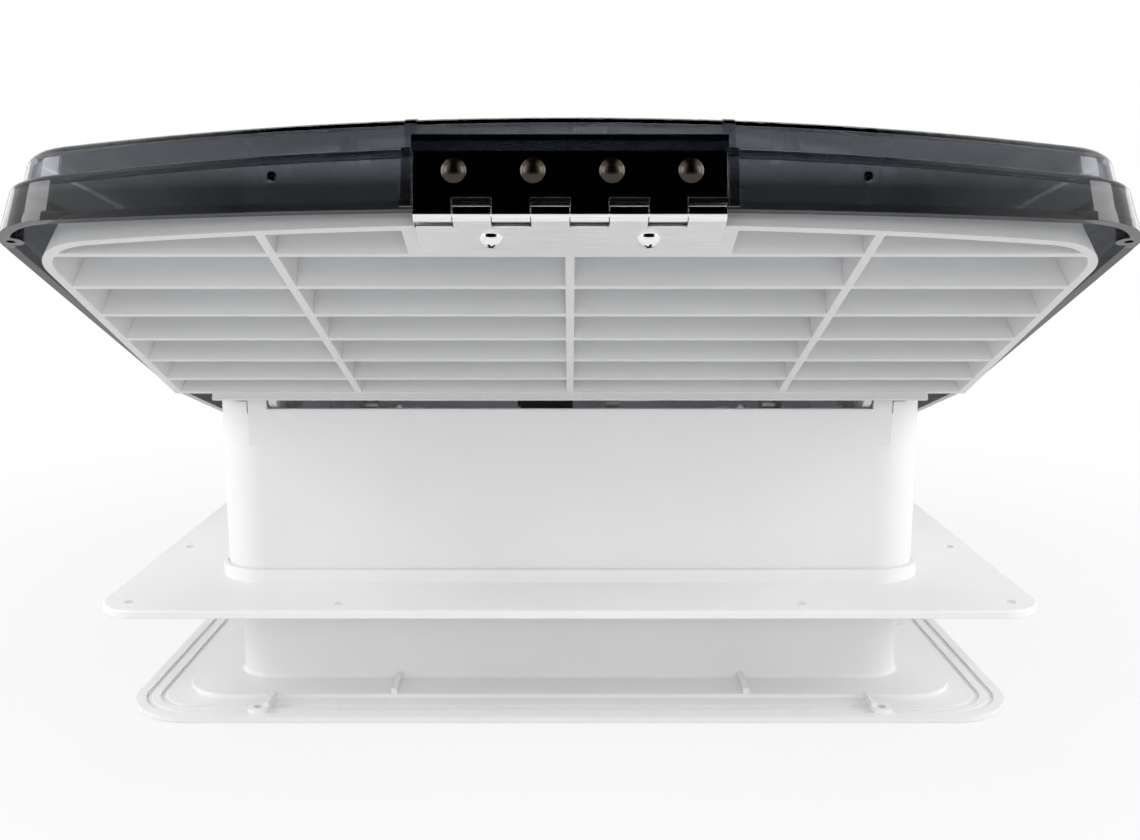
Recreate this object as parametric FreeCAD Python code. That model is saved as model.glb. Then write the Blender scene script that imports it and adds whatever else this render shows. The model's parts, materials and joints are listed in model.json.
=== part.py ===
# Camper roof vent fan with a tilting smoked lid and a folding louvre panel.
# Millimetres. Origin on the roof plane (underside of the roof flange) at the duct's centre.
# +Z is up, -Y is the rear, where the lid opens. Everything is modelled with the lid open.
import FreeCAD, Part
import math
import os

V = FreeCAD.Vector
X_AXIS = V(1, 0, 0)
Y_AXIS = V(0, 1, 0)
Z_AXIS = V(0, 0, 1)

# Clearances shared by all fits
running_fit = 0.05
fixed_fit = 0.02
seat_gap = 0.3
swing_gap = 0.5

# Fan housing
housing_width = 360.0
housing_corner = 24.0
housing_wall = 3.0
housing_top = 97.0
rear_notch_depth = 3.7
rear_notch_margin = 18.0
front_cut_start = 30.0
front_cut_drop = 30.0
pivot_boss_radius = 13.0
pivot_boss_length = 10.0

# Roof flange
flange_margin = 47.5
flange_corner = 20.0
flange_thick = 4.0
flange_edge_round = 1.0
collar_wall = 2.4
collar_height = 6.8
neck_depth = 44.0
neck_wall = 2.5
neck_shoulder_height = 0.7
roof_hole_radius = 2.6
corner_hole_inset = 14.0
row_hole_inset = 11.8
row_hole_half_pitch = 111.5

# Ceiling garnish
garnish_neck_step = 6.0
garnish_margin = 47.0
garnish_corner = 34.0
garnish_thick = 3.0
garnish_drop = 51.8
garnish_neck_fillet = 2.0
platform_margin = 23.0
platform_rise = 2.1
platform_thick = 2.0
groove_insets = (5.0, 12.0)
groove_width = 3.0
groove_depth = 1.0
garnish_opening_margin = 24.0
garnish_opening_front_margin = 36.0
garnish_opening_corner = 16.0
garnish_rib_x = 89.0
garnish_rib_width = 3.0
garnish_rib_height = 3.0
ceiling_hole_from_edge = 67.5
ceiling_hole_inset = 8.0
ceiling_hole_radius = 2.1
ceiling_boss_radius = 5.0
ceiling_boss_height = 2.2
ceiling_rib_width = 3.0
ceiling_rib_height = 4.0

# Fan shroud
shroud_plate = 3.0
ring_clearance = 10.7
ring_wall = 2.5
ring_above = 30.0
ring_below = 20.0
bell_radius = 6.0
spider_boss_radius = 7.0
spider_boss_inset = 50.0
spider_end_margin = 2.0

# Fan and fan motor
tip_gap = 3.0
hub_radius = 56.0
hub_wall = 3.0
hub_height = 42.0
hub_web = 4.0
hub_boss_radius = 12.0
blade_count = 10
blade_thick = 2.0
blade_sink = 1.5
blade_root_chord = 44.0
blade_tip_chord = 62.0
blade_root_pitch_deg = 46.0
blade_tip_pitch_deg = 24.0
blade_camber = 5.0
motor_radius = 46.0
motor_wall = 2.0
motor_length = 40.0
motor_cap_thick = 3.0
motor_vents = 8
motor_vent_inner = 25.0
motor_vent_outer = 37.0
motor_shaft_radius = 4.0
shaft_below_hub = 9.0
magnet_thick = 8.0
magnet_length = 28.0
magnet_half_angle_deg = 70.0
armature_gap = 2.0
armature_length = 26.0
armature_slots = 12
armature_slot_depth = 13.0
hub_under_motor = 8.0
fan_nut_flats = 13.0
fan_nut_thick = 6.5
spider_thick = 3.0
spider_disc_radius = 56.0
spider_arm_width = 22.0
spider_bead_width = 8.0
spider_bead_height = 2.0
spider_bead_margin = 12.0
motor_screw_circle = 33.0
screw_radius = 2.0
screw_head_radius = 4.2
screw_head_height = 2.4
screw_length = 10.0

# Lid, sizes taken with the lid closed
lid_wall = 3.0
lid_side_gap = 24.5
lid_front_gap = 15.0
lid_overhang = 209.3
lid_headroom = 36.0
lid_corner = 32.0
lid_rear_bow = 1300.0
lid_front_bow = 3000.0
lid_crown_across = 2100.0
lid_crown_along = 4000.0
lid_crown_apex = 139.0
lid_shoulder_drop = 11.8
lid_shoulder_step = 3.5
lid_draft_deg = 12.4
lid_lean_depth = 43.0
lid_top_fillet = 6.0
lid_shoulder_fillet = 3.0
lid_lip_width = 4.0
lid_lip_height = 3.5
skirt_front_depth = 97.0
skirt_slope_start = -10.0
skirt_kink_depth = 83.8
skirt_kink_inset = 25.6
skirt_corner_depth = 42.3
skirt_corner_inset = 44.4
skirt_rear_depth = 36.4
lid_tilt_deg = 11.0
lid_pivot_setback = 75.0
lid_pivot_depth = 83.0
lid_pivot_radius = 5.0
lid_boss_radius = 11.0
pad_half = 52.5
pad_rib_width = 4.0
pad_rib_rise = 3.7
pad_rib_upper_rise = 1.5
pad_top_margin = 1.0
lid_hole_x = 101.0
lid_hole_radius = 1.4
lid_hole_above_edge = 11.0
lid_hole_reach = 9.8
corner_boss_radius = 4.5
corner_boss_turn_deg = 15.0
corner_boss_hole = 1.6
corner_boss_height = 16.0
corner_hole_depth = 8.0

# Strap hinge between lid and louvre panel
leaf_half = 51.8
leaf_thick = 1.5
knuckle_radius = 3.0
knuckle_count = 8
knuckle_gap = 0.3
hinge_pin_radius = 1.5
hinge_outside_lid = 0.7
hinge_below_edge = 2.3
lid_leaf_height = 20.0
louvre_leaf_length = 24.4
leaf_corner = 3.0
lid_leaf_corner = 0.5
knuckle_room = 1.6
rivet_count = 4
rivet_pitch = 26.0
rivet_shift = 0.8
rivet_height = 13.5
rivet_head_radius = 4.2
rivet_head_height = 2.4
rivet_shank = 1.8
rivet_tail_radius = 3.0
rivet_tail_height = 1.0
hinge_screw_half_pitch = 26.8
hinge_screw_place = 13.5
hinge_screw_head_height = 3.2

# Louvre panel, sizes along the panel are taken from its pivot towards the hinge
louvre_side_gap = 10.8
louvre_bow = 1080.0
louvre_corner = 28.0
louvre_wall = 3.6
louvre_depth = 22.0
louvre_rear_depth = 9.6
louvre_slope_start = 122.0
louvre_draft_deg = 15.0
louvre_start = 15.5
louvre_hinge_setback = 10.0
louvre_rim_width = 3.6
louvre_rim_thick = 3.0
slat_count = 6
slat_thick = 3.0
slat_first = 23.1
slat_growth = 0.82
slat_top_cell = 25.7
louvre_rib_thick = 3.5
louvre_rib_x = 103.3
louvre_rib_lean_deg = 1.25
hinge_land_margin = 2.5
louvre_bar_half = 175.0
louvre_bar_width = 2.4
louvre_bar_drop = 3.6
louvre_pivot_inset = 6.0
louvre_pivot_rise = 6.7
louvre_pivot_height = 4.45
louvre_pin_radius = 3.0
louvre_lug_thick = 4.0
louvre_lug_radius = 6.8
louvre_ear_thick = 9.5
louvre_ear_gap = 1.0
louvre_slit_width = 0.6
louvre_slit_depth = 2.2
louvre_ear_depth = 20.0
louvre_ear_below = 18.0
louvre_ear_above = 6.5
louvre_pin_play = 0.4
pin_track_steps = 4

# Lid lift
lift_shaft_radius = 4.0
lift_shaft_y = -25.0
lift_shaft_depth = 54.0
lift_peg_depth = 24.0
lift_arm_length = 120.0
lift_arm_inset = 52.0
lift_arm_thick = 4.0
lift_arm_hub_radius = 9.0
lift_arm_hub_length = 12.0
lift_arm_tip_radius = 7.0
lift_peg_radius = 4.0
lift_peg_head_radius = 6.0
lift_peg_head_thick = 2.0
lift_peg_play = 0.8
lid_ear_gap = 4.0
lid_ear_thick = 4.0
lid_ear_edge = 5.0
lid_bracket_depth = 14.0
lid_bracket_thick = 3.0
lid_bracket_width = 26.0
lid_bracket_margin = 12.0
lid_bracket_boss_radius = 5.0
lid_bracket_screw_length = 5.5
bearing_radius = 9.0
bearing_length = 8.0

# Lift drive
gear_module = 1.5
gear_pressure_deg = 20.0
gear_backlash = 0.3
gear_addendum = 0.8
gear_dedendum = 1.2
sector_teeth = 30
pinion_teeth = 12
sector_first_tooth = -3
sector_last_tooth = 4
gear_width = 7.0
sector_hub_radius = 9.0
gear_x = 22.0
gear_flank_points = 4
pinion_extra_width = 1.0
drive_motor_radius = 14.0
drive_motor_length = 31.0
drive_gearbox_length = 17.4
drive_gearbox_width = 30.0
drive_shaft_radius = 3.0
drive_bracket_thick = 2.0
drive_bracket_gap = 1.0
drive_bracket_half = 17.0
drive_bracket_foot = 24.0

# Insect screen
screen_overlap = 8.0
screen_bar = 12.0
screen_thick = 1.7
screen_corner = 14.0
screen_rib_width = 4.0
screen_rib_place = 49.0
mesh_thick = 0.3
latch_y = 80.0
latch_outside_screen = 8.0
latch_knob_radius = 5.0
latch_post_radius = 2.5
latch_thick = 1.0
latch_tab_length = 15.0
latch_tab_width = 7.0

# Controls in the garnish
bezel_half_length = 48.0
bezel_width = 22.0
bezel_thick = 2.0
bezel_corner = 5.0
bezel_from_screen = 1.0
button_count = 4
button_pitch = 22.0
button_radius = 4.6
button_stem_radius = 2.2
button_cap_thick = 1.4
button_proud = 0.5
button_travel = 0.9
board_thick = 1.6
board_standoff = 2.0
board_rib_width = 3.0

# Overrun of cutting tools past the material
overcut = 5.0

# Values worked out from the driving dimensions
housing_half = housing_width / 2
rear_notch_half = housing_half - rear_notch_margin
spider_boss_place = housing_half - spider_boss_inset
lift_arm_x = housing_half - lift_arm_inset
flange_half = housing_half + flange_margin
garnish_neck_half = housing_half - garnish_neck_step
neck_half = garnish_neck_half - neck_wall - seat_gap
duct_half = neck_half - neck_wall
garnish_half = garnish_neck_half + garnish_margin
ceiling_hole_along = garnish_half - ceiling_hole_from_edge
platform_half = garnish_neck_half + platform_margin
garnish_opening_half = garnish_neck_half - garnish_opening_margin
garnish_opening_front = garnish_neck_half - garnish_opening_front_margin
garnish_top = -garnish_drop
garnish_neck_top = -neck_shoulder_height - seat_gap
garnish_floor = garnish_top - garnish_thick
platform_top = garnish_top + platform_rise
platform_under = platform_top - platform_thick
screen_half = garnish_opening_half + screen_overlap
screen_front = garnish_opening_front + screen_overlap
screen_under = platform_under - screen_thick

ring_radius = duct_half - bell_radius - ring_clearance
rear_wall_top = housing_top - rear_notch_depth
spider_z = flange_thick + shroud_plate + ring_above + hub_under_motor
motor_bottom = spider_z - motor_length
hub_bottom = motor_bottom - hub_under_motor - hub_web
blade_tip_radius = ring_radius - tip_gap

lid_half = housing_half + lid_side_gap + lid_wall
lid_front = housing_half + lid_front_gap + lid_wall
lid_rear = -(housing_half + lid_overhang)
lid_top = housing_top + lid_headroom
lid_lean_z = lid_top - lid_lean_depth
lid_draft = math.tan(math.radians(lid_draft_deg))
skirt_front_z = lid_top - skirt_front_depth
skirt_kink_z = lid_top - skirt_kink_depth
skirt_corner_z = lid_top - skirt_corner_depth
skirt_rear_z = lid_top - skirt_rear_depth
lid_tilt = math.radians(lid_tilt_deg)
lid_pivot = V(0, housing_half - lid_pivot_setback, lid_top - lid_pivot_depth)

hinge_closed = V(0, lid_rear - hinge_outside_lid, skirt_rear_z - hinge_below_edge)
louvre_pivot = V(0, -(housing_half - louvre_pivot_inset), rear_wall_top + louvre_pivot_rise)
louvre_half = lid_half - lid_wall - louvre_side_gap
louvre_lug_x = rear_notch_half - louvre_slit_width - louvre_ear_thick - louvre_ear_gap - louvre_lug_thick
louvre_draft = math.tan(math.radians(louvre_draft_deg))


def turned(point, angle, centre):
    """A point turned about an axis along X through centre, by the right-hand rule."""
    dy = point.y - centre.y
    dz = point.z - centre.z
    y = centre.y + dy * math.cos(angle) - dz * math.sin(angle)
    z = centre.z + dy * math.sin(angle) + dz * math.cos(angle)
    return V(point.x, y, z)


leaf_offset = knuckle_radius - leaf_thick
hinge_open = turned(hinge_closed, -lid_tilt, lid_pivot)
hinge_span = math.hypot(hinge_open.y - louvre_pivot.y, hinge_open.z - louvre_pivot.z)
hinge_offset = -leaf_thick / 2 - louvre_pivot_height
louvre_length = math.sqrt(hinge_span ** 2 - hinge_offset ** 2)
span_angle = math.atan2(hinge_open.z - louvre_pivot.z, louvre_pivot.y - hinge_open.y)
louvre_angle = span_angle - math.atan2(hinge_offset, louvre_length)
louvre_rear = louvre_length - louvre_hinge_setback

lift_shaft = V(0, lift_shaft_y, lid_top - lift_shaft_depth)
lift_peg_closed_z = lid_top - lift_peg_depth
pinion_radius = gear_module * pinion_teeth / 2
sector_radius = gear_module * sector_teeth / 2
pinion_centre = V(0, lift_shaft.y - sector_radius - pinion_radius, lift_shaft.z)
lid_ear_x = lift_arm_x + lift_arm_thick + lid_ear_gap
lid_bracket_z = lid_top - lid_bracket_depth


def lift_angle(tilt):
    """Angle of the lift arms above the horizontal that sets the pegs at their lid slots."""
    rise = lift_peg_closed_z - lid_pivot.z
    rise -= (lift_shaft.z - lid_pivot.z) * math.cos(tilt)
    rise -= (lift_shaft.y - lid_pivot.y) * math.sin(tilt)
    return tilt + math.asin(rise / lift_arm_length)


def peg_at(tilt):
    """Centre of the lift pegs when the lid stands open by this tilt."""
    angle = lift_angle(tilt)
    y = lift_shaft.y - lift_arm_length * math.cos(angle)
    z = lift_shaft.z + lift_arm_length * math.sin(angle)
    return V(0, y, z)


def block(x0, x1, y0, y1, z0, z1):
    return Part.makeBox(x1 - x0, y1 - y0, z1 - z0, V(x0, y0, z0))


def rod(radius, length, start, direction=Z_AXIS):
    return Part.makeCylinder(radius, length, start, direction)


def fused(shapes):
    return shapes[0].multiFuse(shapes[1:]).removeSplitter()


def without(shape, cutters):
    return shape.cut(Part.makeCompound(cutters))


def mirrored(shape):
    return shape.mirror(V(0, 0, 0), X_AXIS)


def rounded_plate(x0, x1, y0, y1, radius, z0, z1):
    """Upright prism with a rounded rectangular plan."""
    plate = block(x0, x1, y0, y1, z0, z1)
    upright = [e for e in plate.Edges if abs(e.tangentAt(e.FirstParameter).z) > 0.5]
    return plate.makeFillet(radius, upright)


def square_plate(half, radius, z0, z1):
    return rounded_plate(-half, half, -half, half, radius, z0, z1)


def square_tube(half, wall, radius, z0, z1):
    outer = square_plate(half, radius, z0, z1)
    return outer.cut(square_plate(half - wall, radius - wall, z0 - overcut, z1 + overcut))


def prism_across(points, half):
    """Prism along X from a closed outline of (y, z) points."""
    corners = [V(-half, y, z) for y, z in points]
    face = Part.Face(Part.makePolygon(corners + [corners[0]]))
    return face.extrude(V(2 * half, 0, 0))


def arc_edge(centre, radius, start, end, z):
    """Level arc from the start angle to the end angle about (x, y)."""
    angles = (start, (start + end) / 2, end)
    points = [V(centre[0] + radius * math.cos(a), centre[1] + radius * math.sin(a), z) for a in angles]
    return Part.Arc(*points).toShape()


def bowed_outline(half, rear, front, corner, rear_bow, front_bow, inset, z):
    """Rounded rectangle with bowed front and rear edges, drawn in by an inset."""
    cx = half - corner
    rear_centre = rear + rear_bow
    front_centre = front - front_bow
    rear_y = rear_centre - math.sqrt((rear_bow - corner) ** 2 - cx ** 2)
    front_y = front_centre + math.sqrt((front_bow - corner) ** 2 - cx ** 2)
    front_turn = math.atan2(front_y - front_centre, cx)
    rear_turn = math.atan2(rear_y - rear_centre, cx)
    radius = corner - inset
    edge = half - inset
    edges = [
        Part.LineSegment(V(edge, rear_y, z), V(edge, front_y, z)).toShape(),
        arc_edge((cx, front_y), radius, 0, front_turn, z),
        arc_edge((0, front_centre), front_bow - inset, front_turn, math.pi - front_turn, z),
        arc_edge((-cx, front_y), radius, math.pi - front_turn, math.pi, z),
        Part.LineSegment(V(-edge, front_y, z), V(-edge, rear_y, z)).toShape(),
        arc_edge((-cx, rear_y), radius, -math.pi, -math.pi - rear_turn, z),
        arc_edge((0, rear_centre), rear_bow - inset, -math.pi - rear_turn, rear_turn, z),
        arc_edge((cx, rear_y), radius, rear_turn, 0, z),
    ]
    return Part.Wire(edges)


def domed_screw(head_radius, head_height, shank_radius, shank_length):
    """Domed fastener along -Z, with the underside of its head at the origin."""
    dome_radius = (head_radius ** 2 + head_height ** 2) / (2 * head_height)
    ball = Part.makeSphere(dome_radius, V(0, 0, head_height - dome_radius))
    head = ball.common(rod(head_radius + overcut, head_height, V(0, 0, 0)))
    shank = rod(shank_radius, shank_length, V(0, 0, -shank_length))
    return head.fuse(shank).removeSplitter()


def placed(shape, position, axis=X_AXIS, angle_deg=0.0):
    """Copy of a shape turned about an axis through the origin and then moved."""
    copy = shape.copy()
    copy.rotate(V(0, 0, 0), axis, angle_deg)
    copy.translate(position)
    return copy


def opened(shape):
    """A shape modelled on the closed lid, swung to the open lid."""
    copy = shape.copy()
    copy.rotate(lid_pivot, X_AXIS, -lid_tilt_deg)
    return copy


def link_plate(x0, thick, p1, r1, p2, r2):
    """Flat link across two eyes of different radius, in a plane across X."""
    length = math.hypot(p2.y - p1.y, p2.z - p1.z)
    along = math.atan2(p2.z - p1.z, p2.y - p1.y)
    lean = math.acos((r1 - r2) / length)

    def on_eye(centre, radius, angle):
        return V(x0, centre.y + radius * math.cos(angle), centre.z + radius * math.sin(angle))

    upper1 = on_eye(p1, r1, along + lean)
    lower1 = on_eye(p1, r1, along - lean)
    upper2 = on_eye(p2, r2, along + lean)
    lower2 = on_eye(p2, r2, along - lean)
    edges = [
        Part.Arc(upper1, on_eye(p1, r1, along + math.pi), lower1).toShape(),
        Part.LineSegment(lower1, lower2).toShape(),
        Part.Arc(lower2, on_eye(p2, r2, along), upper2).toShape(),
        Part.LineSegment(upper2, upper1).toShape(),
    ]
    return Part.Face(Part.Wire(edges)).extrude(V(thick, 0, 0))


def edges_along(shape, axis):
    """Straight edges of a shape that run along an axis."""
    return [e for e in shape.Edges if e.tangentAt(e.FirstParameter).cross(axis).Length < seat_gap]


def slot_across(x0, length, p1, p2, radius):
    """Round-ended slot cutter along X between two pin positions."""
    if p1.distanceToPoint(p2) < running_fit:
        return rod(radius, length, V(x0, p1.y, p1.z), X_AXIS)
    return link_plate(x0, length, p1, radius, p2, radius)


# Roof flange and garnish

def roof_hole_places():
    corner = flange_half - corner_hole_inset
    edge = flange_half - row_hole_inset
    along = row_hole_half_pitch
    signs = [(sx, sy) for sx in (-1, 1) for sy in (-1, 1)]
    corners = [(sx * corner, sy * corner) for sx, sy in signs]
    rows_x = [(sx * along, sy * edge) for sx, sy in signs]
    rows_y = [(sx * edge, sy * along) for sx, sy in signs]
    return corners + rows_x + rows_y


def make_roof_flange():
    plate = square_plate(flange_half, flange_corner, 0, flange_thick)
    upper = [e for e in plate.Edges if e.BoundBox.ZMin > flange_thick / 2]
    plate = plate.makeFillet(flange_edge_round, upper)
    collar_half = housing_half + seat_gap + collar_wall
    collar_radius = housing_corner + seat_gap + collar_wall
    collar = square_tube(collar_half, collar_wall, collar_radius, 0, flange_thick + collar_height)
    neck_radius = housing_corner - garnish_neck_step - neck_wall
    neck = square_tube(neck_half, neck_wall, neck_radius, -neck_depth, flange_thick)
    shoulder = square_plate(garnish_neck_half + seat_gap, housing_corner - garnish_neck_step + seat_gap,
                            -neck_shoulder_height, flange_thick)
    duct = square_plate(duct_half, neck_radius - neck_wall, -neck_depth - overcut, flange_thick + overcut)
    holes = [rod(roof_hole_radius, flange_thick + 2 * overcut, V(x, y, -overcut))
             for x, y in roof_hole_places()]
    return without(fused([plate, collar, neck, shoulder]), [duct] + holes)


def ceiling_hole_places():
    edge = garnish_half - ceiling_hole_inset
    along = ceiling_hole_along
    return [(sx * along, sy * edge) for sx in (-1, 1) for sy in (-1, 1)]


def latch_places():
    x = screen_half + latch_outside_screen
    return [(-x, -latch_y), (-x, latch_y), (x, -latch_y), (x, latch_y)]


def button_places():
    y = screen_front + bezel_from_screen + bezel_width / 2
    first = -button_pitch * (button_count - 1) / 2
    return [(first + i * button_pitch, y) for i in range(button_count)]


def make_ceiling_garnish():
    band = square_plate(garnish_half, garnish_corner, garnish_floor, garnish_top)
    step_corner = housing_corner
    step = square_plate(platform_half, step_corner, garnish_floor, platform_top)
    recess = square_plate(platform_half - garnish_thick, step_corner - garnish_thick,
                          garnish_floor - overcut, platform_under)
    grooves = []
    for inset in groove_insets:
        grooves.append(square_tube(garnish_half - inset, groove_width, garnish_corner - inset,
                                   garnish_top - groove_depth, garnish_top + overcut))
    neck_top = garnish_neck_top
    neck_radius = housing_corner - garnish_neck_step
    neck = square_plate(garnish_neck_half, neck_radius, platform_under, neck_top)
    body = fused([without(band, grooves), step, neck])
    foot = [e for e in body.Edges if abs(e.BoundBox.ZMin - platform_top) < seat_gap
            and abs(e.BoundBox.ZMax - platform_top) < seat_gap
            and max(abs(e.CenterOfMass.x), abs(e.CenterOfMass.y)) < garnish_neck_half + seat_gap]
    body = body.makeFillet(garnish_neck_fillet, foot)
    bore = square_plate(garnish_neck_half - neck_wall, neck_radius - neck_wall,
                        platform_top, neck_top + overcut)
    opening = rounded_plate(-garnish_opening_half, garnish_opening_half, -garnish_opening_half,
                            garnish_opening_front, garnish_opening_corner,
                            garnish_floor - overcut, platform_top + overcut)
    pieces = []
    rib_start = garnish_neck_half - neck_wall / 2
    for turn in range(4):
        for x in (-garnish_rib_x, garnish_rib_x):
            rib = block(x - garnish_rib_width / 2, x + garnish_rib_width / 2, -platform_half, -rib_start,
                        garnish_top - garnish_thick / 2, platform_top + garnish_rib_height)
            pieces.append(placed(rib, V(0, 0, 0), Z_AXIS, 90 * turn))
    foot_z = garnish_top - garnish_thick / 2
    for x, y in ceiling_hole_places():
        pieces.append(rod(ceiling_boss_radius, ceiling_boss_height + garnish_thick / 2, V(x, y, foot_z)))
        rib_x = x - math.copysign(ceiling_boss_radius - ceiling_rib_width / 2, x)
        ends = sorted((y, math.copysign(platform_half, y)))
        pieces.append(block(rib_x - ceiling_rib_width / 2, rib_x + ceiling_rib_width / 2, ends[0], ends[1],
                            foot_z, garnish_top + ceiling_rib_height))
    board_y = [button_places()[0][1] + s * (bezel_width / 2 - board_rib_width) for s in (-1, 1)]
    for y in board_y:
        pieces.append(block(-bezel_half_length, bezel_half_length,
                            y - board_rib_width / 2, y + board_rib_width / 2,
                            platform_under, platform_top + board_standoff))
    body = fused([without(body, [recess, bore])] + pieces)
    holes = [rod(ceiling_hole_radius, platform_top - garnish_floor + 2 * overcut,
                 V(x, y, garnish_floor - overcut)) for x, y in ceiling_hole_places()]
    deep = platform_thick + 2 * overcut
    holes += [rod(latch_post_radius + running_fit, deep, V(x, y, platform_under - overcut))
              for x, y in latch_places()]
    holes += [rod(button_stem_radius + seat_gap, deep, V(x, y, platform_under - overcut))
              for x, y in button_places()]
    return without(body, [opening] + holes)


# Housing, shroud and fan

def louvre_pin_track():
    """Positions of the louvre pins as the lid shuts, turned in proportion to the tilt."""
    ratio = louvre_fold_ratio()
    track = []
    for step in range(pin_track_steps + 1):
        shut = lid_tilt * step / pin_track_steps
        hinge = turned(hinge_closed, shut - lid_tilt, lid_pivot)
        pin = louvre_pivot + (hinge - hinge_open)
        track.append(turned(pin, shut * (1 + ratio), hinge))
    return track


def louvre_fold_ratio():
    """Turn of the louvre panel on the lid for each degree that the lid shuts."""
    drop = louvre_pivot.z - hinge_closed.z
    shut_angle = -math.asin(drop / hinge_span)
    return (span_angle - shut_angle - lid_tilt) / lid_tilt


def make_fan_housing():
    z0 = flange_thick
    tube = square_tube(housing_half, housing_wall, housing_corner, z0, housing_top)
    notch = block(-rear_notch_half, rear_notch_half, -housing_half - overcut, -housing_half + housing_corner,
                  rear_wall_top, housing_top + overcut)
    front = [(front_cut_start, housing_top), (housing_half + overcut, housing_top - front_cut_drop),
             (housing_half + overcut, housing_top + overcut), (front_cut_start, housing_top + overcut)]
    tube = without(tube, [notch, prism_across(front, housing_half + overcut)])
    ear_x = rear_notch_half - louvre_slit_width - louvre_ear_thick
    ear = block(ear_x, ear_x + louvre_ear_thick, -housing_half, -housing_half + louvre_ear_depth,
                rear_wall_top - louvre_ear_below, louvre_pivot.z + louvre_ear_above)
    ys = [p.y for p in louvre_pin_track()]
    zs = [p.z for p in louvre_pin_track()]
    reach = louvre_pin_radius + louvre_pin_play
    slot = slot_across(ear_x - overcut, louvre_ear_thick + 2 * overcut,
                       V(0, min(ys), max(zs)), V(0, max(ys), max(zs)), reach)
    low = slot_across(ear_x - overcut, louvre_ear_thick + 2 * overcut,
                      V(0, min(ys), min(zs)), V(0, max(ys), min(zs)), reach)
    ear = without(ear, [slot, low])
    boss = rod(pivot_boss_radius, pivot_boss_length + housing_wall,
               V(housing_half - housing_wall, lid_pivot.y, lid_pivot.z), X_AXIS)
    bore = rod(lid_pivot_radius + fixed_fit, pivot_boss_length + housing_wall + 2 * overcut,
               V(housing_half - housing_wall - overcut, lid_pivot.y, lid_pivot.z), X_AXIS)
    slit = block(rear_notch_half - louvre_slit_width, rear_notch_half, -housing_half - overcut,
                 -housing_half + louvre_ear_depth, rear_wall_top - louvre_slit_depth, housing_top + overcut)
    body = fused([tube, ear, mirrored(ear), boss, mirrored(boss)])
    return without(body, [bore, mirrored(bore), slit, mirrored(slit)])


def make_fan_shroud():
    z0 = flange_thick
    half = housing_half - housing_wall - seat_gap
    plate = square_plate(half, housing_corner - housing_wall - seat_gap, z0, z0 + shroud_plate)
    z_top = z0 + shroud_plate + ring_above
    z_low = z0 - ring_below
    r_in = ring_radius
    r_out = ring_radius + ring_wall
    flare = bell_radius
    turn = math.radians(45)
    inner_mid = V(r_in + flare * (1 - math.cos(turn)), 0, z_low + flare * (1 - math.sin(turn)))
    outer_flare = flare - ring_wall
    outer_mid = V(r_in + flare - outer_flare * math.cos(turn), 0,
                  z_low + flare - outer_flare * math.sin(turn))
    profile = Part.Wire([
        Part.LineSegment(V(r_in, 0, z_top), V(r_in, 0, z_low + flare)).toShape(),
        Part.Arc(V(r_in, 0, z_low + flare), inner_mid, V(r_in + flare, 0, z_low)).toShape(),
        Part.LineSegment(V(r_in + flare, 0, z_low), V(r_in + flare, 0, z_low + ring_wall)).toShape(),
        Part.Arc(V(r_in + flare, 0, z_low + ring_wall), outer_mid, V(r_out, 0, z_low + flare)).toShape(),
        Part.LineSegment(V(r_out, 0, z_low + flare), V(r_out, 0, z_top)).toShape(),
        Part.LineSegment(V(r_out, 0, z_top), V(r_in, 0, z_top)).toShape(),
    ])
    ring = Part.Face(profile).revolve(V(0, 0, 0), Z_AXIS, 360)
    opening = rod(r_in + ring_wall / 2, shroud_plate + 2 * overcut, V(0, 0, z0 - overcut))
    bosses = []
    holes = []
    for x, y in spider_boss_places():
        bosses.append(rod(spider_boss_radius, spider_z - z0, V(x, y, z0)))
        foot = V(x, y, spider_z + spider_thick - screw_length)
        holes.append(rod(screw_radius + fixed_fit, screw_length, foot))
    return without(fused([plate.cut(opening), ring] + bosses), holes)


def spider_boss_places():
    p = spider_boss_place
    return [(-p, -p), (-p, p), (p, -p), (p, p)]


def motor_screw_places():
    angles = [math.radians(90 * i) for i in range(4)]
    return [(motor_screw_circle * math.cos(a), motor_screw_circle * math.sin(a)) for a in angles]


def drive_bracket_plan():
    """Plan of the lift drive's bracket foot: x0, x1, y0, y1."""
    x1 = gear_x - drive_bracket_gap
    y = pinion_centre.y
    return x1 - drive_bracket_foot, x1, y - drive_bracket_half, y + drive_bracket_half


def drive_screw_places():
    x0, x1, y0, y1 = drive_bracket_plan()
    x = x0 + screw_head_radius + seat_gap
    return [(x, y0 + screw_head_radius + seat_gap), (x, y1 - screw_head_radius - seat_gap)]


def make_motor_spider():
    reach = math.hypot(spider_boss_place, spider_boss_place) + spider_boss_radius + spider_end_margin
    half = spider_arm_width / 2
    z0 = spider_z
    disc = rod(spider_disc_radius, spider_thick, V(0, 0, z0))
    pieces = [disc]
    for turn in (45, 135, 225, 315):
        arm = block(0, reach - half, -half, half, z0, z0 + spider_thick)
        end = rod(half, spider_thick, V(reach - half, 0, z0))
        bead_start = spider_disc_radius - spider_bead_margin
        bead_end = reach - 2 * spider_boss_radius - spider_bead_margin
        bead = block(bead_start, bead_end, -spider_bead_width / 2, spider_bead_width / 2,
                     z0, z0 + spider_thick + spider_bead_height)
        pieces += [placed(p, V(0, 0, 0), Z_AXIS, turn) for p in (arm, end, bead)]
    x0, x1, y0, y1 = drive_bracket_plan()
    pieces.append(block(x0, x1, y0, 0, z0, z0 + spider_thick))
    holes = [rod(screw_radius + fixed_fit, spider_thick + 2 * overcut, V(x, y, z0 - overcut))
             for x, y in spider_boss_places() + motor_screw_places() + drive_screw_places()]
    centre = rod(hub_boss_radius, spider_thick + 2 * overcut, V(0, 0, z0 - overcut))
    return without(fused(pieces), holes + [centre])


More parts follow.
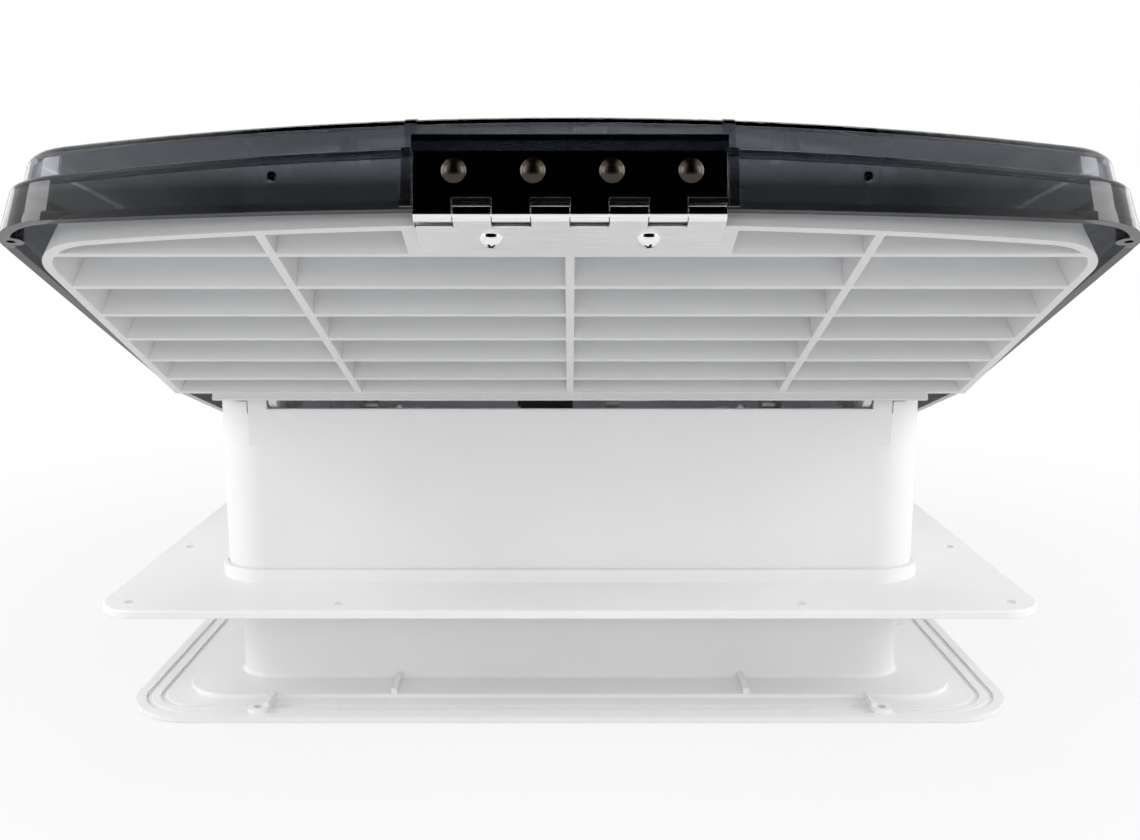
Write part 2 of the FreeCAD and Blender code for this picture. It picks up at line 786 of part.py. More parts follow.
def make_motor_can():
    z1 = spider_z - motor_cap_thick
    can = rod(motor_radius, z1 - motor_bottom, V(0, 0, motor_bottom))
    inside = rod(motor_radius - motor_wall, z1, V(0, 0, motor_bottom + motor_wall))
    bearing = rod(hub_boss_radius, 2 * motor_wall, V(0, 0, motor_bottom))
    bore = rod(motor_shaft_radius + running_fit, 4 * motor_wall, V(0, 0, motor_bottom - motor_wall))
    vents = []
    for i in range(motor_vents):
        vent = block(motor_vent_inner, motor_vent_outer, -motor_wall, motor_wall,
                     motor_bottom - overcut, motor_bottom + overcut)
        vents.append(placed(vent, V(0, 0, 0), Z_AXIS, 360 * i / motor_vents))
    return without(fused([can.cut(inside), bearing]), [bore] + vents)


def make_motor_end_cap():
    z0 = spider_z - motor_cap_thick
    cap = rod(motor_radius, motor_cap_thick, V(0, 0, z0))
    seat = rod(motor_radius - motor_wall - seat_gap, motor_wall, V(0, 0, z0 - motor_wall))
    holes = [rod(screw_radius + fixed_fit, screw_length, V(x, y, spider_z + spider_thick - screw_length))
             for x, y in motor_screw_places()]
    bore = rod(motor_shaft_radius + running_fit, motor_cap_thick + motor_wall, V(0, 0, z0 - motor_wall))
    return without(fused([cap, seat]), holes + [bore])


def motor_middle():
    return (motor_bottom + spider_z - motor_cap_thick) / 2


def make_motor_magnets():
    r_out = motor_radius - motor_wall
    r_in = r_out - magnet_thick
    z0 = motor_middle() - magnet_length / 2
    ring = rod(r_out, magnet_length, V(0, 0, z0)).cut(rod(r_in, magnet_length, V(0, 0, z0)))
    reach = 2 * r_out
    lean = math.tan(math.radians(90 - magnet_half_angle_deg))
    wedge = Part.Face(Part.makePolygon([V(0, 0, z0), V(reach, reach / lean, z0), V(reach, -reach / lean, z0),
                                        V(0, 0, z0)])).extrude(V(0, 0, magnet_length))
    right = ring.common(wedge)
    return Part.makeCompound([right, mirrored(right)])


def make_motor_armature():
    radius = motor_radius - motor_wall - magnet_thick - armature_gap
    z0 = motor_middle() - armature_length / 2
    core = rod(radius, armature_length, V(0, 0, z0))
    slots = []
    for i in range(armature_slots):
        slot = block(radius - armature_slot_depth, radius + overcut, -motor_wall, motor_wall,
                     z0 - overcut, z0 + armature_length + overcut)
        slots.append(placed(slot, V(0, 0, 0), Z_AXIS, 360 * i / armature_slots))
    bore = rod(motor_shaft_radius + fixed_fit, armature_length + 2 * overcut, V(0, 0, z0 - overcut))
    return without(core, slots + [bore])


def make_motor_shaft():
    z0 = hub_bottom - shaft_below_hub
    return rod(motor_shaft_radius, spider_z - z0, V(0, 0, z0))


def blade_section(radius, chord, pitch_deg, camber):
    """Closed outline of one blade at a radius, in the plane x = radius."""
    pitch = math.radians(pitch_deg)
    middle = hub_bottom + hub_height / 2

    def at(along, up):
        y = along * math.cos(pitch) - up * math.sin(pitch)
        z = along * math.sin(pitch) + up * math.cos(pitch)
        return V(radius, y, middle + z)

    half = chord / 2
    low = -blade_thick / 2
    high = blade_thick / 2
    return Part.Wire([
        Part.Arc(at(-half, low), at(0, low + camber), at(half, low)).toShape(),
        Part.LineSegment(at(half, low), at(half, high)).toShape(),
        Part.Arc(at(half, high), at(0, high + camber), at(-half, high)).toShape(),
        Part.LineSegment(at(-half, high), at(-half, low)).toShape(),
    ])


def make_fan_impeller():
    cup = rod(hub_radius, hub_height, V(0, 0, hub_bottom))
    hollow = rod(hub_radius - hub_wall, hub_height, V(0, 0, hub_bottom + hub_web))
    boss = rod(hub_boss_radius, hub_web + hub_under_motor / 2, V(0, 0, hub_bottom))
    nose = [e for e in cup.Edges if abs(e.BoundBox.ZMax - hub_bottom) < seat_gap and e.Length > hub_radius]
    cup = cup.makeFillet(hub_wall, nose)
    bore = rod(motor_shaft_radius + fixed_fit, hub_height, V(0, 0, hub_bottom - overcut))
    root = blade_section(hub_radius - hub_wall, blade_root_chord, blade_root_pitch_deg, blade_camber)
    tip = blade_section(blade_tip_radius + overcut, blade_tip_chord, blade_tip_pitch_deg, blade_camber)
    blade = Part.makeLoft([root, tip], True, True)
    low = hub_bottom - hub_height
    high = hub_bottom + 2 * hub_height
    envelope = rod(blade_tip_radius, high - low, V(0, 0, low))
    envelope = envelope.cut(rod(hub_radius - blade_sink, high - low, V(0, 0, low)))
    blade = blade.common(envelope)
    blades = [placed(blade, V(0, 0, 0), Z_AXIS, 360 * i / blade_count) for i in range(blade_count)]
    return without(fused([cup.cut(hollow), boss] + blades), [bore])


def make_fan_nut():
    radius = fan_nut_flats / math.sqrt(3)
    corners = [V(radius * math.cos(a), radius * math.sin(a), hub_bottom - fan_nut_thick)
               for a in [math.radians(60 * i) for i in range(6)]]
    prism = Part.Face(Part.makePolygon(corners + [corners[0]])).extrude(V(0, 0, fan_nut_thick))
    bore = rod(motor_shaft_radius + fixed_fit, 3 * fan_nut_thick, V(0, 0, hub_bottom - 2 * fan_nut_thick))
    return prism.cut(bore)


def make_spider_screws():
    length = screw_length - seat_gap
    screw = domed_screw(screw_head_radius, screw_head_height, screw_radius, length)
    z = spider_z + spider_thick
    return Part.makeCompound([placed(screw, V(x, y, z)) for x, y in spider_boss_places()])


def make_motor_screws():
    length = spider_thick + motor_cap_thick
    screw = domed_screw(screw_head_radius, screw_head_height, screw_radius, length)
    z = spider_z + spider_thick
    return Part.makeCompound([placed(screw, V(x, y, z)) for x, y in motor_screw_places()])


# Lid

def hood_loft(inset, z_levels):
    """Ruled prism of the lid's plan, drawn in by an inset at each level."""
    wires = [bowed_outline(lid_half, lid_rear, lid_front, lid_corner, lid_rear_bow, lid_front_bow,
                           inset + d, z) for z, d in z_levels]
    return Part.makeLoft(wires, True, True)


def crown(drop):
    """Barrel-shaped solid whose top is the lid's doubly curved crown, lowered by a drop."""
    top = lid_top - drop
    half = lid_half + 2 * overcut
    foot = top - lid_crown_along
    low = lid_crown_along - skirt_front_depth - 2 * lid_headroom
    apex_y = lid_rear + lid_crown_apex
    sag = lid_crown_across - math.sqrt(lid_crown_across ** 2 - half ** 2)
    left = V(-half, apex_y, top - sag)
    right = V(half, apex_y, top - sag)
    wire = Part.Wire([
        Part.Arc(left, V(0, apex_y, top), right).toShape(),
        Part.LineSegment(right, V(half, apex_y, foot + low)).toShape(),
        Part.LineSegment(V(half, apex_y, foot + low), V(-half, apex_y, foot + low)).toShape(),
        Part.LineSegment(V(-half, apex_y, foot + low), left).toShape(),
    ])
    sweep = math.degrees((lid_front - lid_rear) / lid_crown_along)
    face = Part.Face(wire)
    face.rotate(V(0, apex_y, foot), X_AXIS, -sweep)
    return face.revolve(V(0, apex_y, foot), X_AXIS, 2 * sweep)


def lid_tier_levels():
    high = lid_top + overcut
    low = skirt_front_z - overcut
    lower = [(low, 0), (lid_lean_z, 0), (high, (high - lid_lean_z) * lid_draft)]
    start = lid_lean_z
    upper = [(start, lid_shoulder_step), (high, lid_shoulder_step + (high - start) * lid_draft)]
    return lower, upper


def round_top(tier, radius):
    """Rounds the edge round the highest face of a tier."""
    top = max(tier.Faces, key=lambda f: f.CenterOfMass.z)
    return tier.makeFillet(radius, top.Edges)


def lid_tiers(inset, drop, rounded):
    lower, upper = lid_tier_levels()
    base = hood_loft(inset, lower).common(crown(lid_shoulder_drop + drop))
    cap = hood_loft(inset, upper).common(crown(drop))
    if rounded:
        base = round_top(base, lid_shoulder_fillet)
        cap = round_top(cap, lid_top_fillet)
    return base, cap


def skirt_edge():
    """Lower edge of the skirt, as (y, z) points from front to rear."""
    return [
        (lid_front + overcut, skirt_front_z),
        (skirt_slope_start, skirt_front_z),
        (-(housing_half - skirt_kink_inset), skirt_kink_z),
        (lid_rear + skirt_corner_inset, skirt_corner_z),
        (lid_rear, skirt_rear_z),
        (lid_rear - 2 * overcut, skirt_rear_z),
    ]


def below_skirt(lift):
    edge = [(y, z + lift) for y, z in skirt_edge()]
    deep = skirt_front_z - skirt_front_depth
    return prism_across([(edge[0][0], deep)] + edge + [(edge[-1][0], deep)], lid_half + overcut)


def make_lid_shell():
    base, cap = lid_tiers(0, 0, True)
    inner_base, inner_cap = lid_tiers(lid_wall, lid_wall, False)
    shoulder = lid_top - lid_shoulder_drop
    pad = block(-pad_half, pad_half, hinge_closed.y - leaf_offset, lid_rear + lid_corner,
                skirt_rear_z, shoulder - pad_top_margin)
    grown_base = lid_tiers(-pad_rib_rise, 0, True)[0]
    grown_cap = lid_tiers(-pad_rib_upper_rise, 0, True)[1]
    ribs = []
    for x0 in (pad_half, -pad_half - pad_rib_width):
        strip = block(x0, x0 + pad_rib_width, hinge_closed.y - lid_corner, lid_rear + lid_corner,
                      skirt_rear_z, lid_top)
        ribs += [grown_base.common(strip), grown_cap.common(strip)]
    outer = fused([base, cap, pad] + ribs)
    shell = outer.cut(inner_base.fuse(inner_cap))
    lower, upper = lid_tier_levels()
    lip = hood_loft(0, lower).cut(hood_loft(lid_lip_width, lower))
    lip = lip.common(below_skirt(lid_lip_height))
    corner_x = lid_half - lid_corner
    corner_y = skirt_corner_y()
    reach = lid_corner - corner_boss_radius
    around = math.radians(corner_boss_turn_deg)
    boss_at = V(corner_x + reach * math.cos(around), corner_y - reach * math.sin(around),
                skirt_corner_z - overcut)
    corner_boss = rod(corner_boss_radius, corner_boss_height + overcut, boss_at).common(base)
    boss_x = housing_half + pivot_boss_length + swing_gap
    pivot_boss = rod(lid_boss_radius, lid_half - lid_wall / 2 - boss_x,
                     V(boss_x, lid_pivot.y, lid_pivot.z), X_AXIS)
    pieces = [shell, lip, corner_boss, mirrored(corner_boss), pivot_boss, mirrored(pivot_boss)]
    for x, y in lid_bracket_screw_places():
        post = rod(lid_bracket_boss_radius, lid_top - lid_bracket_z, V(x, y, lid_bracket_z))
        post = post.common(crown(lid_wall / 2))
        pieces += [post, mirrored(post)]
    shell = fused(pieces)
    pivot_bore = rod(lid_pivot_radius + running_fit, lid_half - lid_wall - boss_x,
                     V(boss_x, lid_pivot.y, lid_pivot.z), X_AXIS)
    barrel_room = rod(knuckle_radius + swing_gap, 2 * (leaf_half + swing_gap),
                      V(-leaf_half - swing_gap, hinge_closed.y, hinge_closed.z), X_AXIS)
    cutters = [below_skirt(0), pivot_bore, mirrored(pivot_bore), barrel_room]
    hole_z = skirt_rear_z + lid_hole_above_edge
    for x in (-lid_hole_x, lid_hole_x):
        cutters.append(rod(lid_hole_radius, lid_corner + lid_hole_reach,
                           V(x, lid_rear - lid_corner, hole_z), Y_AXIS))
    corner_hole = rod(corner_boss_hole, corner_hole_depth + overcut, boss_at)
    cutters += [corner_hole, mirrored(corner_hole)]
    for x, z in rivet_places():
        cutters.append(rod(rivet_shank + fixed_fit, lid_corner, V(x, hinge_closed.y - overcut, z), Y_AXIS))
    for x, y in lid_bracket_screw_places():
        hole = rod(screw_radius + fixed_fit, lid_bracket_screw_length,
                   V(x, y, lid_bracket_z - lid_bracket_thick))
        cutters += [hole, mirrored(hole)]
    return opened(without(shell, cutters))


def skirt_corner_y():
    """Centre of the lid's rear corner arcs."""
    cx = lid_half - lid_corner
    return lid_rear + lid_rear_bow - math.sqrt((lid_rear_bow - lid_corner) ** 2 - cx ** 2)


def make_lid_pivot_pin():
    x0 = housing_half - housing_wall
    x1 = lid_half - lid_wall - swing_gap
    return rod(lid_pivot_radius, x1 - x0, V(x0, lid_pivot.y, lid_pivot.z), X_AXIS)


# Strap hinge

def knuckle_spans(first):
    """X spans of every second knuckle, starting from the first or the second."""
    step = 2 * leaf_half / knuckle_count
    spans = []
    for i in range(first, knuckle_count, 2):
        spans.append((-leaf_half + i * step + knuckle_gap / 2, -leaf_half + (i + 1) * step - knuckle_gap / 2))
    return spans


def leaf_with_knuckles(first, length, corner):
    """Hinge leaf rising along +Z from a barrel on the X axis, flush with the barrel's -Y side."""
    plate = block(-leaf_half, leaf_half, -knuckle_radius, -leaf_offset, 0, length)
    ends = [e for e in edges_along(plate, Y_AXIS) if e.CenterOfMass.z > length / 2]
    plate = plate.makeFillet(corner, ends)
    clear = knuckle_radius + knuckle_room
    for x0, x1 in knuckle_spans(1 - first):
        plate = plate.cut(block(x0 - knuckle_gap, x1 + knuckle_gap, -clear, clear, -clear, clear))
    barrels = [rod(knuckle_radius, x1 - x0, V(x0, 0, 0), X_AXIS) for x0, x1 in knuckle_spans(first)]
    trimmed = []
    for x0, x1 in knuckle_spans(first):
        trimmed.append(plate.common(block(x0, x1, -clear, clear, -clear, clear + overcut)))
    upper = plate.common(block(-leaf_half, leaf_half, -clear, clear, clear, length))
    return fused([upper] + trimmed + barrels)


def hinge_bore(radius):
    return rod(radius, 2 * leaf_half + 2 * overcut, V(-leaf_half - overcut, 0, 0), X_AXIS)


def rivet_places():
    first = rivet_shift - rivet_pitch * (rivet_count - 1) / 2
    return [(first + i * rivet_pitch, hinge_closed.z + rivet_height) for i in range(rivet_count)]


def make_hinge_lid_leaf():
    leaf = leaf_with_knuckles(0, lid_leaf_height, lid_leaf_corner)
    holes = [rod(rivet_shank + fixed_fit, 2 * overcut, V(x, -overcut, z - hinge_closed.z), Y_AXIS)
             for x, z in rivet_places()]
    leaf = without(leaf, [hinge_bore(hinge_pin_radius + running_fit)] + holes)
    return opened(placed(leaf, hinge_closed))


def make_hinge_rivets():
    wall = lid_rear_wall_depth()
    length = wall + leaf_thick + rivet_tail_height
    rivet = domed_screw(rivet_head_radius, rivet_head_height, rivet_shank, length)
    tail = rod(rivet_tail_radius, rivet_tail_height, V(0, 0, -wall - leaf_thick - rivet_tail_height))
    rivet = rivet.fuse(tail).removeSplitter()
    y = hinge_closed.y - knuckle_radius
    rivets = [placed(rivet, V(x, y, z), X_AXIS, 90) for x, z in rivet_places()]
    return opened(Part.makeCompound(rivets))


def lid_rear_wall_depth():
    """From the hinge pad's face to the deepest inner face of the lid behind a rivet tail."""
    z = hinge_closed.z + rivet_height + rivet_tail_radius
    inner = lid_rear + lid_wall + (z - lid_lean_z) * lid_draft
    bow = (rivet_places()[-1][0] + rivet_tail_radius) ** 2 / (2 * lid_rear_bow)
    return inner + bow - (hinge_closed.y - leaf_offset) + fixed_fit


def make_hinge_louvre_leaf():
    leaf = leaf_with_knuckles(0, louvre_leaf_length, leaf_corner)
    holes = [rod(screw_radius + fixed_fit, 2 * overcut, V(x, -overcut, hinge_screw_place), Y_AXIS)
             for x in (-hinge_screw_half_pitch, hinge_screw_half_pitch)]
    leaf = without(leaf, [hinge_bore(hinge_pin_radius + fixed_fit)] + holes)
    leaf = placed(placed(leaf, V(0, 0, 0), Z_AXIS, 180), V(0, 0, 0), X_AXIS, -90)
    return on_louvre(placed(leaf, V(0, -louvre_length, -leaf_thick / 2)))


def make_hinge_pin():
    pin = rod(hinge_pin_radius, 2 * leaf_half, V(-leaf_half, 0, 0), X_AXIS)
    return on_louvre(placed(pin, V(0, -louvre_length, -leaf_thick / 2)))


def make_hinge_screws():
    face = -leaf_thick / 2 - knuckle_radius
    screw = domed_screw(screw_head_radius, hinge_screw_head_height, screw_radius, louvre_rim_thick - face)
    screw = placed(screw, V(0, 0, 0), X_AXIS, 180)
    y = -louvre_length + hinge_screw_place
    places = [V(x, y, face) for x in (-hinge_screw_half_pitch, hinge_screw_half_pitch)]
    return on_louvre(Part.makeCompound([placed(screw, p) for p in places]))


# Louvre panel, modelled flat with its pivot line over the origin and its rear along -Y

def on_louvre(shape):
    """Sets a shape modelled on the flat panel at the open panel's place."""
    copy = shape.copy()
    copy.translate(V(0, 0, -louvre_pivot_height))
    copy.rotate(V(0, 0, 0), X_AXIS, -math.degrees(louvre_angle))
    copy.translate(louvre_pivot)
    return copy


def tray_loft(inset, z0, z1):
    wires = []
    for z in (z0, z1):
        d = inset + z * louvre_draft
        wires.append(bowed_outline(louvre_half, -louvre_rear, louvre_rear, louvre_corner,
                                   louvre_bow, louvre_bow, d, z))
    loft = Part.makeLoft(wires, True, True)
    keep = block(-louvre_half - overcut, louvre_half + overcut, -louvre_rear - overcut, -louvre_start, z0, z1)
    return loft.common(keep)


def slat_places():
    """Distances of the slats from the pivot, with a pitch that grows towards the hinge."""
    steps = slat_count - 1
    first = louvre_start + slat_first
    last = louvre_rear - slat_top_cell
    pitch = (last - first - slat_growth * steps * (steps - 1) / 2) / steps
    return [first + i * pitch + slat_growth * i * (i - 1) / 2 for i in range(slat_count)]


def make_louvre_panel():
    solid = tray_loft(0, 0, louvre_depth)
    rim = tray_loft(0, 0, louvre_rim_thick).cut(tray_loft(louvre_rim_width, 0, louvre_rim_thick))
    wall = solid.cut(tray_loft(louvre_wall, 0, louvre_depth))
    width = louvre_half + overcut
    bars = [block(-width, width, -louvre_start - louvre_wall, -louvre_start, 0, louvre_depth)]
    bars.append(block(-width, width, -louvre_start - louvre_rim_width, -louvre_start, 0, louvre_rim_thick))
    places = slat_places()
    for u in places:
        bars.append(block(-width, width, -u - slat_thick / 2, -u + slat_thick / 2, 0, louvre_depth))
    half = louvre_rib_thick / 2
    rib = block(-half, half, -louvre_length, 0, 0, louvre_depth)
    for side in (-1, 1):
        bars.append(placed(rib, V(side * louvre_rib_x, -louvre_start, 0), Z_AXIS, side * louvre_rib_lean_deg))
    bars.append(block(-half, half, -places[-1], -louvre_start, 0, louvre_depth))
    land = leaf_half + hinge_land_margin
    for x in (-land - louvre_rib_thick, land):
        bars.append(block(x, x + louvre_rib_thick, -louvre_rear, -places[-1], 0, louvre_depth))
    bars.append(block(-land, land, -louvre_rear, -places[-1], 0, louvre_rim_thick))
    grid = fused(bars).common(solid)
    bar = block(-louvre_bar_half, louvre_bar_half, -louvre_start - louvre_bar_width, -louvre_start,
                -louvre_bar_drop, louvre_rim_thick)
    lug_x = louvre_lug_x
    lug = rod(louvre_lug_radius, louvre_lug_thick, V(lug_x, 0, louvre_pivot_height), X_AXIS)
    tongue = block(lug_x, lug_x + louvre_lug_thick, -louvre_start - louvre_wall, 0,
                   0, louvre_pivot_height + louvre_lug_radius)
    lug = lug.fuse(tongue)
    bore = rod(louvre_pin_radius + fixed_fit, 2 * louvre_lug_thick,
               V(lug_x - louvre_lug_thick / 2, 0, louvre_pivot_height), X_AXIS)
    holes = [rod(screw_radius + fixed_fit, 2 * overcut, V(x, -louvre_length + hinge_screw_place, -overcut))
             for x in (-hinge_screw_half_pitch, hinge_screw_half_pitch)]
    seat = block(-leaf_half, leaf_half, -louvre_rear, louvre_leaf_length - louvre_length,
                 -leaf_thick / 2 - leaf_offset, louvre_rim_thick)
    body = fused([wall, rim, grid, bar, seat, lug, mirrored(lug)])
    over = louvre_depth + overcut
    slope = prism_across([(-louvre_slope_start, louvre_depth), (-louvre_rear, louvre_rear_depth),
                          (-louvre_length, over), (-louvre_slope_start, over)], width)
    return on_louvre(without(body, [bore, mirrored(bore), slope] + holes))


def make_louvre_pin():
    length = louvre_lug_thick + louvre_ear_gap + louvre_ear_thick
    return rod(louvre_pin_radius, length, V(louvre_lug_x, louvre_pivot.y, louvre_pivot.z), X_AXIS)


# Lid lift

def make_lift_shaft():
    half = housing_half - housing_wall - seat_gap
    return rod(lift_shaft_radius, 2 * half, V(-half, lift_shaft.y, lift_shaft.z), X_AXIS)


def make_shaft_bearing():
    x1 = housing_half - housing_wall
    flange = rod(bearing_radius, bearing_length / 2,
                 V(x1 - bearing_length / 2, lift_shaft.y, lift_shaft.z), X_AXIS)
    nose = rod(bearing_radius - lift_shaft_radius / 2, bearing_length,
               V(x1 - bearing_length, lift_shaft.y, lift_shaft.z), X_AXIS)
    bore = rod(lift_shaft_radius + running_fit, bearing_length,
               V(x1 - bearing_length, lift_shaft.y, lift_shaft.z), X_AXIS)
    return fused([flange, nose]).cut(bore)


def make_lift_arm():
    peg = peg_at(lid_tilt)
    plate = link_plate(lift_arm_x, lift_arm_thick, lift_shaft, lift_arm_hub_radius, peg, lift_arm_tip_radius)
    hub_x = lift_arm_x + lift_arm_thick - lift_arm_hub_length
    hub = rod(lift_arm_hub_radius, lift_arm_hub_length, V(hub_x, lift_shaft.y, lift_shaft.z), X_AXIS)
    bore = rod(lift_shaft_radius + fixed_fit, 2 * lift_arm_hub_length,
               V(hub_x - overcut, lift_shaft.y, lift_shaft.z), X_AXIS)
    eye = rod(lift_peg_radius + fixed_fit, 2 * lift_arm_thick,
              V(lift_arm_x - lift_arm_thick / 2, peg.y, peg.z), X_AXIS)
    return without(fused([plate, hub]), [bore, eye])


def make_lift_peg():
    peg = peg_at(lid_tilt)
    x1 = lid_ear_x + lid_ear_thick + swing_gap
    stem = rod(lift_peg_radius, x1 - lift_arm_x, V(lift_arm_x, peg.y, peg.z), X_AXIS)
    head = rod(lift_peg_head_radius, lift_peg_head_thick, V(x1, peg.y, peg.z), X_AXIS)
    return fused([stem, head])


def peg_slot_ends():
    """Ends of the peg's travel in the lid's own closed position."""
    places = [turned(peg_at(lid_tilt * s), lid_tilt * s, lid_pivot) for s in (0, 0.5, 1)]
    ys = [p.y for p in places]
    return V(0, min(ys), lift_peg_closed_z), V(0, max(ys), lift_peg_closed_z)


def lid_bracket_screw_places():
    rear, front = peg_slot_ends()
    x = lid_ear_x + lid_ear_thick + lid_bracket_width / 2
    reach = lift_peg_radius + lid_ear_edge
    return [(x, rear.y - reach), (x, front.y + reach)]


def make_lid_bracket():
    rear, front = peg_slot_ends()
    reach = lift_peg_radius + lift_peg_play + lid_ear_edge
    ear = link_plate(lid_ear_x, lid_ear_thick, rear, reach, front, reach)
    web = block(lid_ear_x, lid_ear_x + lid_ear_thick, rear.y - reach, front.y + reach,
                lift_peg_closed_z, lid_bracket_z)
    y0 = rear.y - reach - lid_bracket_margin / 2
    y1 = front.y + reach + lid_bracket_margin / 2
    base = rounded_plate(lid_ear_x, lid_ear_x + lid_bracket_width, y0, y1, leaf_corner,
                         lid_bracket_z - lid_bracket_thick, lid_bracket_z)
    slot = slot_across(lid_ear_x - overcut, lid_ear_thick + 2 * overcut, rear, front,
                       lift_peg_radius + lift_peg_play)
    holes = [rod(screw_radius + fixed_fit, 2 * overcut, V(x, y, lid_bracket_z - overcut))
             for x, y in lid_bracket_screw_places()]
    return opened(without(fused([ear, web, base]), [slot] + holes))


def make_lid_bracket_screws():
    length = lid_bracket_screw_length - seat_gap
    screw = domed_screw(screw_head_radius, screw_head_height, screw_radius, length)
    screw = placed(screw, V(0, 0, 0), X_AXIS, 180)
    screws = [placed(screw, V(s * x, y, lid_bracket_z - lid_bracket_thick))
              for x, y in lid_bracket_screw_places() for s in (-1, 1)]
    return opened(Part.makeCompound(screws))


# Lift drive gears

def involute(angle):
    return math.tan(angle) - angle


def gear_tooth(teeth, centre_angle, x0, width, centre):
    """One involute tooth in a plane across X, standing on the root circle."""
    pitch_r = gear_module * teeth / 2
    pressure = math.radians(gear_pressure_deg)
    base_r = pitch_r * math.cos(pressure)
    root_r = pitch_r - gear_dedendum * gear_module
    tip_r = pitch_r + gear_addendum * gear_module
    half_pitch = math.pi / (2 * teeth) - gear_backlash / (2 * pitch_r) + involute(pressure)

    def half_angle(r):
        return half_pitch - involute(math.acos(min(1, base_r / r)))

    def at(r, angle):
        around = centre_angle + angle
        return V(x0, centre.y + r * math.cos(around), centre.z + r * math.sin(around))

    start_r = max(base_r, root_r)
    radii = [start_r + (tip_r - start_r) * i / (gear_flank_points - 1) for i in range(gear_flank_points)]
    left = Part.BSplineCurve()
    left.interpolate([at(r, half_angle(r)) for r in radii])
    right = Part.BSplineCurve()
    right.interpolate([at(r, -half_angle(r)) for r in reversed(radii)])
    sunk = root_r - gear_module / 2
    start = half_angle(start_r)
    edges = [
        Part.LineSegment(at(sunk, start), at(start_r, start)).toShape(),
        left.toShape(),
        Part.Arc(at(tip_r, half_angle(tip_r)), at(tip_r, 0), at(tip_r, -half_angle(tip_r))).toShape(),
        right.toShape(),
        Part.LineSegment(at(start_r, -start), at(sunk, -start)).toShape(),
        Part.LineSegment(at(sunk, -start), at(sunk, start)).toShape(),
    ]
    return Part.Face(Part.Wire(edges)).extrude(V(width, 0, 0))


def make_lift_sector():
    step = 2 * math.pi / sector_teeth
    root_r = sector_radius - gear_dedendum * gear_module
    numbers = range(sector_first_tooth, sector_last_tooth + 1)
    angles = [math.pi - (k + 0.5) * step for k in numbers]
    disc = rod(root_r, gear_width, V(gear_x, lift_shaft.y, lift_shaft.z), X_AXIS)
    low = math.pi - sector_first_tooth * step
    high = math.pi - (sector_last_tooth + 1) * step
    reach = 2 * root_r
    fan = [V(gear_x, lift_shaft.y, lift_shaft.z)]
    for i in range(4):
        a = low + (high - low) * i / 3
        fan.append(fan[0] + V(0, reach * math.cos(a), reach * math.sin(a)))
    wedge = Part.Face(Part.makePolygon(fan + [fan[0]])).extrude(V(gear_width, 0, 0))
    hub = rod(sector_hub_radius, gear_width, V(gear_x, lift_shaft.y, lift_shaft.z), X_AXIS)
    teeth = [gear_tooth(sector_teeth, a, gear_x, gear_width, lift_shaft) for a in angles]
    bore = rod(lift_shaft_radius + fixed_fit, gear_width + 2 * overcut,
               V(gear_x - overcut, lift_shaft.y, lift_shaft.z), X_AXIS)
    return without(fused([disc.common(wedge), hub] + teeth), [bore])


def make_lift_pinion():
    root_r = pinion_radius - gear_dedendum * gear_module
    x0 = gear_x - pinion_extra_width / 2
    width = gear_width + pinion_extra_width
    core = rod(root_r, width, V(x0, pinion_centre.y, pinion_centre.z), X_AXIS)
    step = 2 * math.pi / pinion_teeth
    teeth = [gear_tooth(pinion_teeth, i * step, x0, width, pinion_centre) for i in range(pinion_teeth)]
    stub = rod(drive_shaft_radius, drive_gearbox_length / 2 + drive_bracket_thick + drive_bracket_gap,
               V(x0 - drive_gearbox_length / 2 - drive_bracket_thick - drive_bracket_gap / 2,
                 pinion_centre.y, pinion_centre.z), X_AXIS)
    return fused([core, stub] + teeth)


def drive_plate_x():
    """Inner face of the drive bracket's upright plate."""
    return gear_x - drive_bracket_gap - drive_bracket_thick


def make_lift_gearbox():
    x1 = drive_plate_x()
    half = drive_gearbox_width / 2
    body = block(x1 - drive_gearbox_length, x1, pinion_centre.y - half, pinion_centre.y + half,
                 pinion_centre.z - half, pinion_centre.z + half)
    along = [e for e in body.Edges if abs(e.tangentAt(e.FirstParameter).x) > 0.5]
    body = body.makeFillet(leaf_corner, along)
    bore = rod(drive_shaft_radius + running_fit, drive_gearbox_length,
               V(x1 - drive_gearbox_length / 2 - drive_bracket_gap, pinion_centre.y, pinion_centre.z), X_AXIS)
    return body.cut(bore)


def make_lift_motor_can():
    x1 = drive_plate_x() - drive_gearbox_length
    x0 = x1 - drive_motor_length
    can = rod(drive_motor_radius, drive_motor_length, V(x0, pinion_centre.y, pinion_centre.z), X_AXIS)
    rear = [e for e in can.Edges if e.BoundBox.XMax < (x0 + x1) / 2 and e.Length > drive_motor_radius]
    can = can.makeFillet(motor_wall, rear)
    stub = rod(drive_shaft_radius, motor_wall,
               V(x0 - motor_wall, pinion_centre.y, pinion_centre.z), X_AXIS)
    return can.fuse(stub).removeSplitter()


def make_lift_motor_bracket():
    x0, x1, y0, y1 = drive_bracket_plan()
    z0 = spider_z + spider_thick
    foot = block(x0, x1, y0, y1, z0, z0 + drive_bracket_thick)
    upright = block(drive_plate_x(), x1, y0, y1, z0, pinion_centre.z + drive_gearbox_width / 2)
    bore = rod(drive_shaft_radius + swing_gap, 2 * overcut,
               V(x1 - overcut, pinion_centre.y, pinion_centre.z), X_AXIS)
    top = [e for e in edges_along(upright, X_AXIS) if e.CenterOfMass.z > lift_shaft.z]
    upright = upright.makeFillet(leaf_corner, top)
    holes = [rod(screw_radius + fixed_fit, 2 * overcut, V(x, y, z0 - overcut))
             for x, y in drive_screw_places()]
    return without(fused([foot, upright]), [bore] + holes)


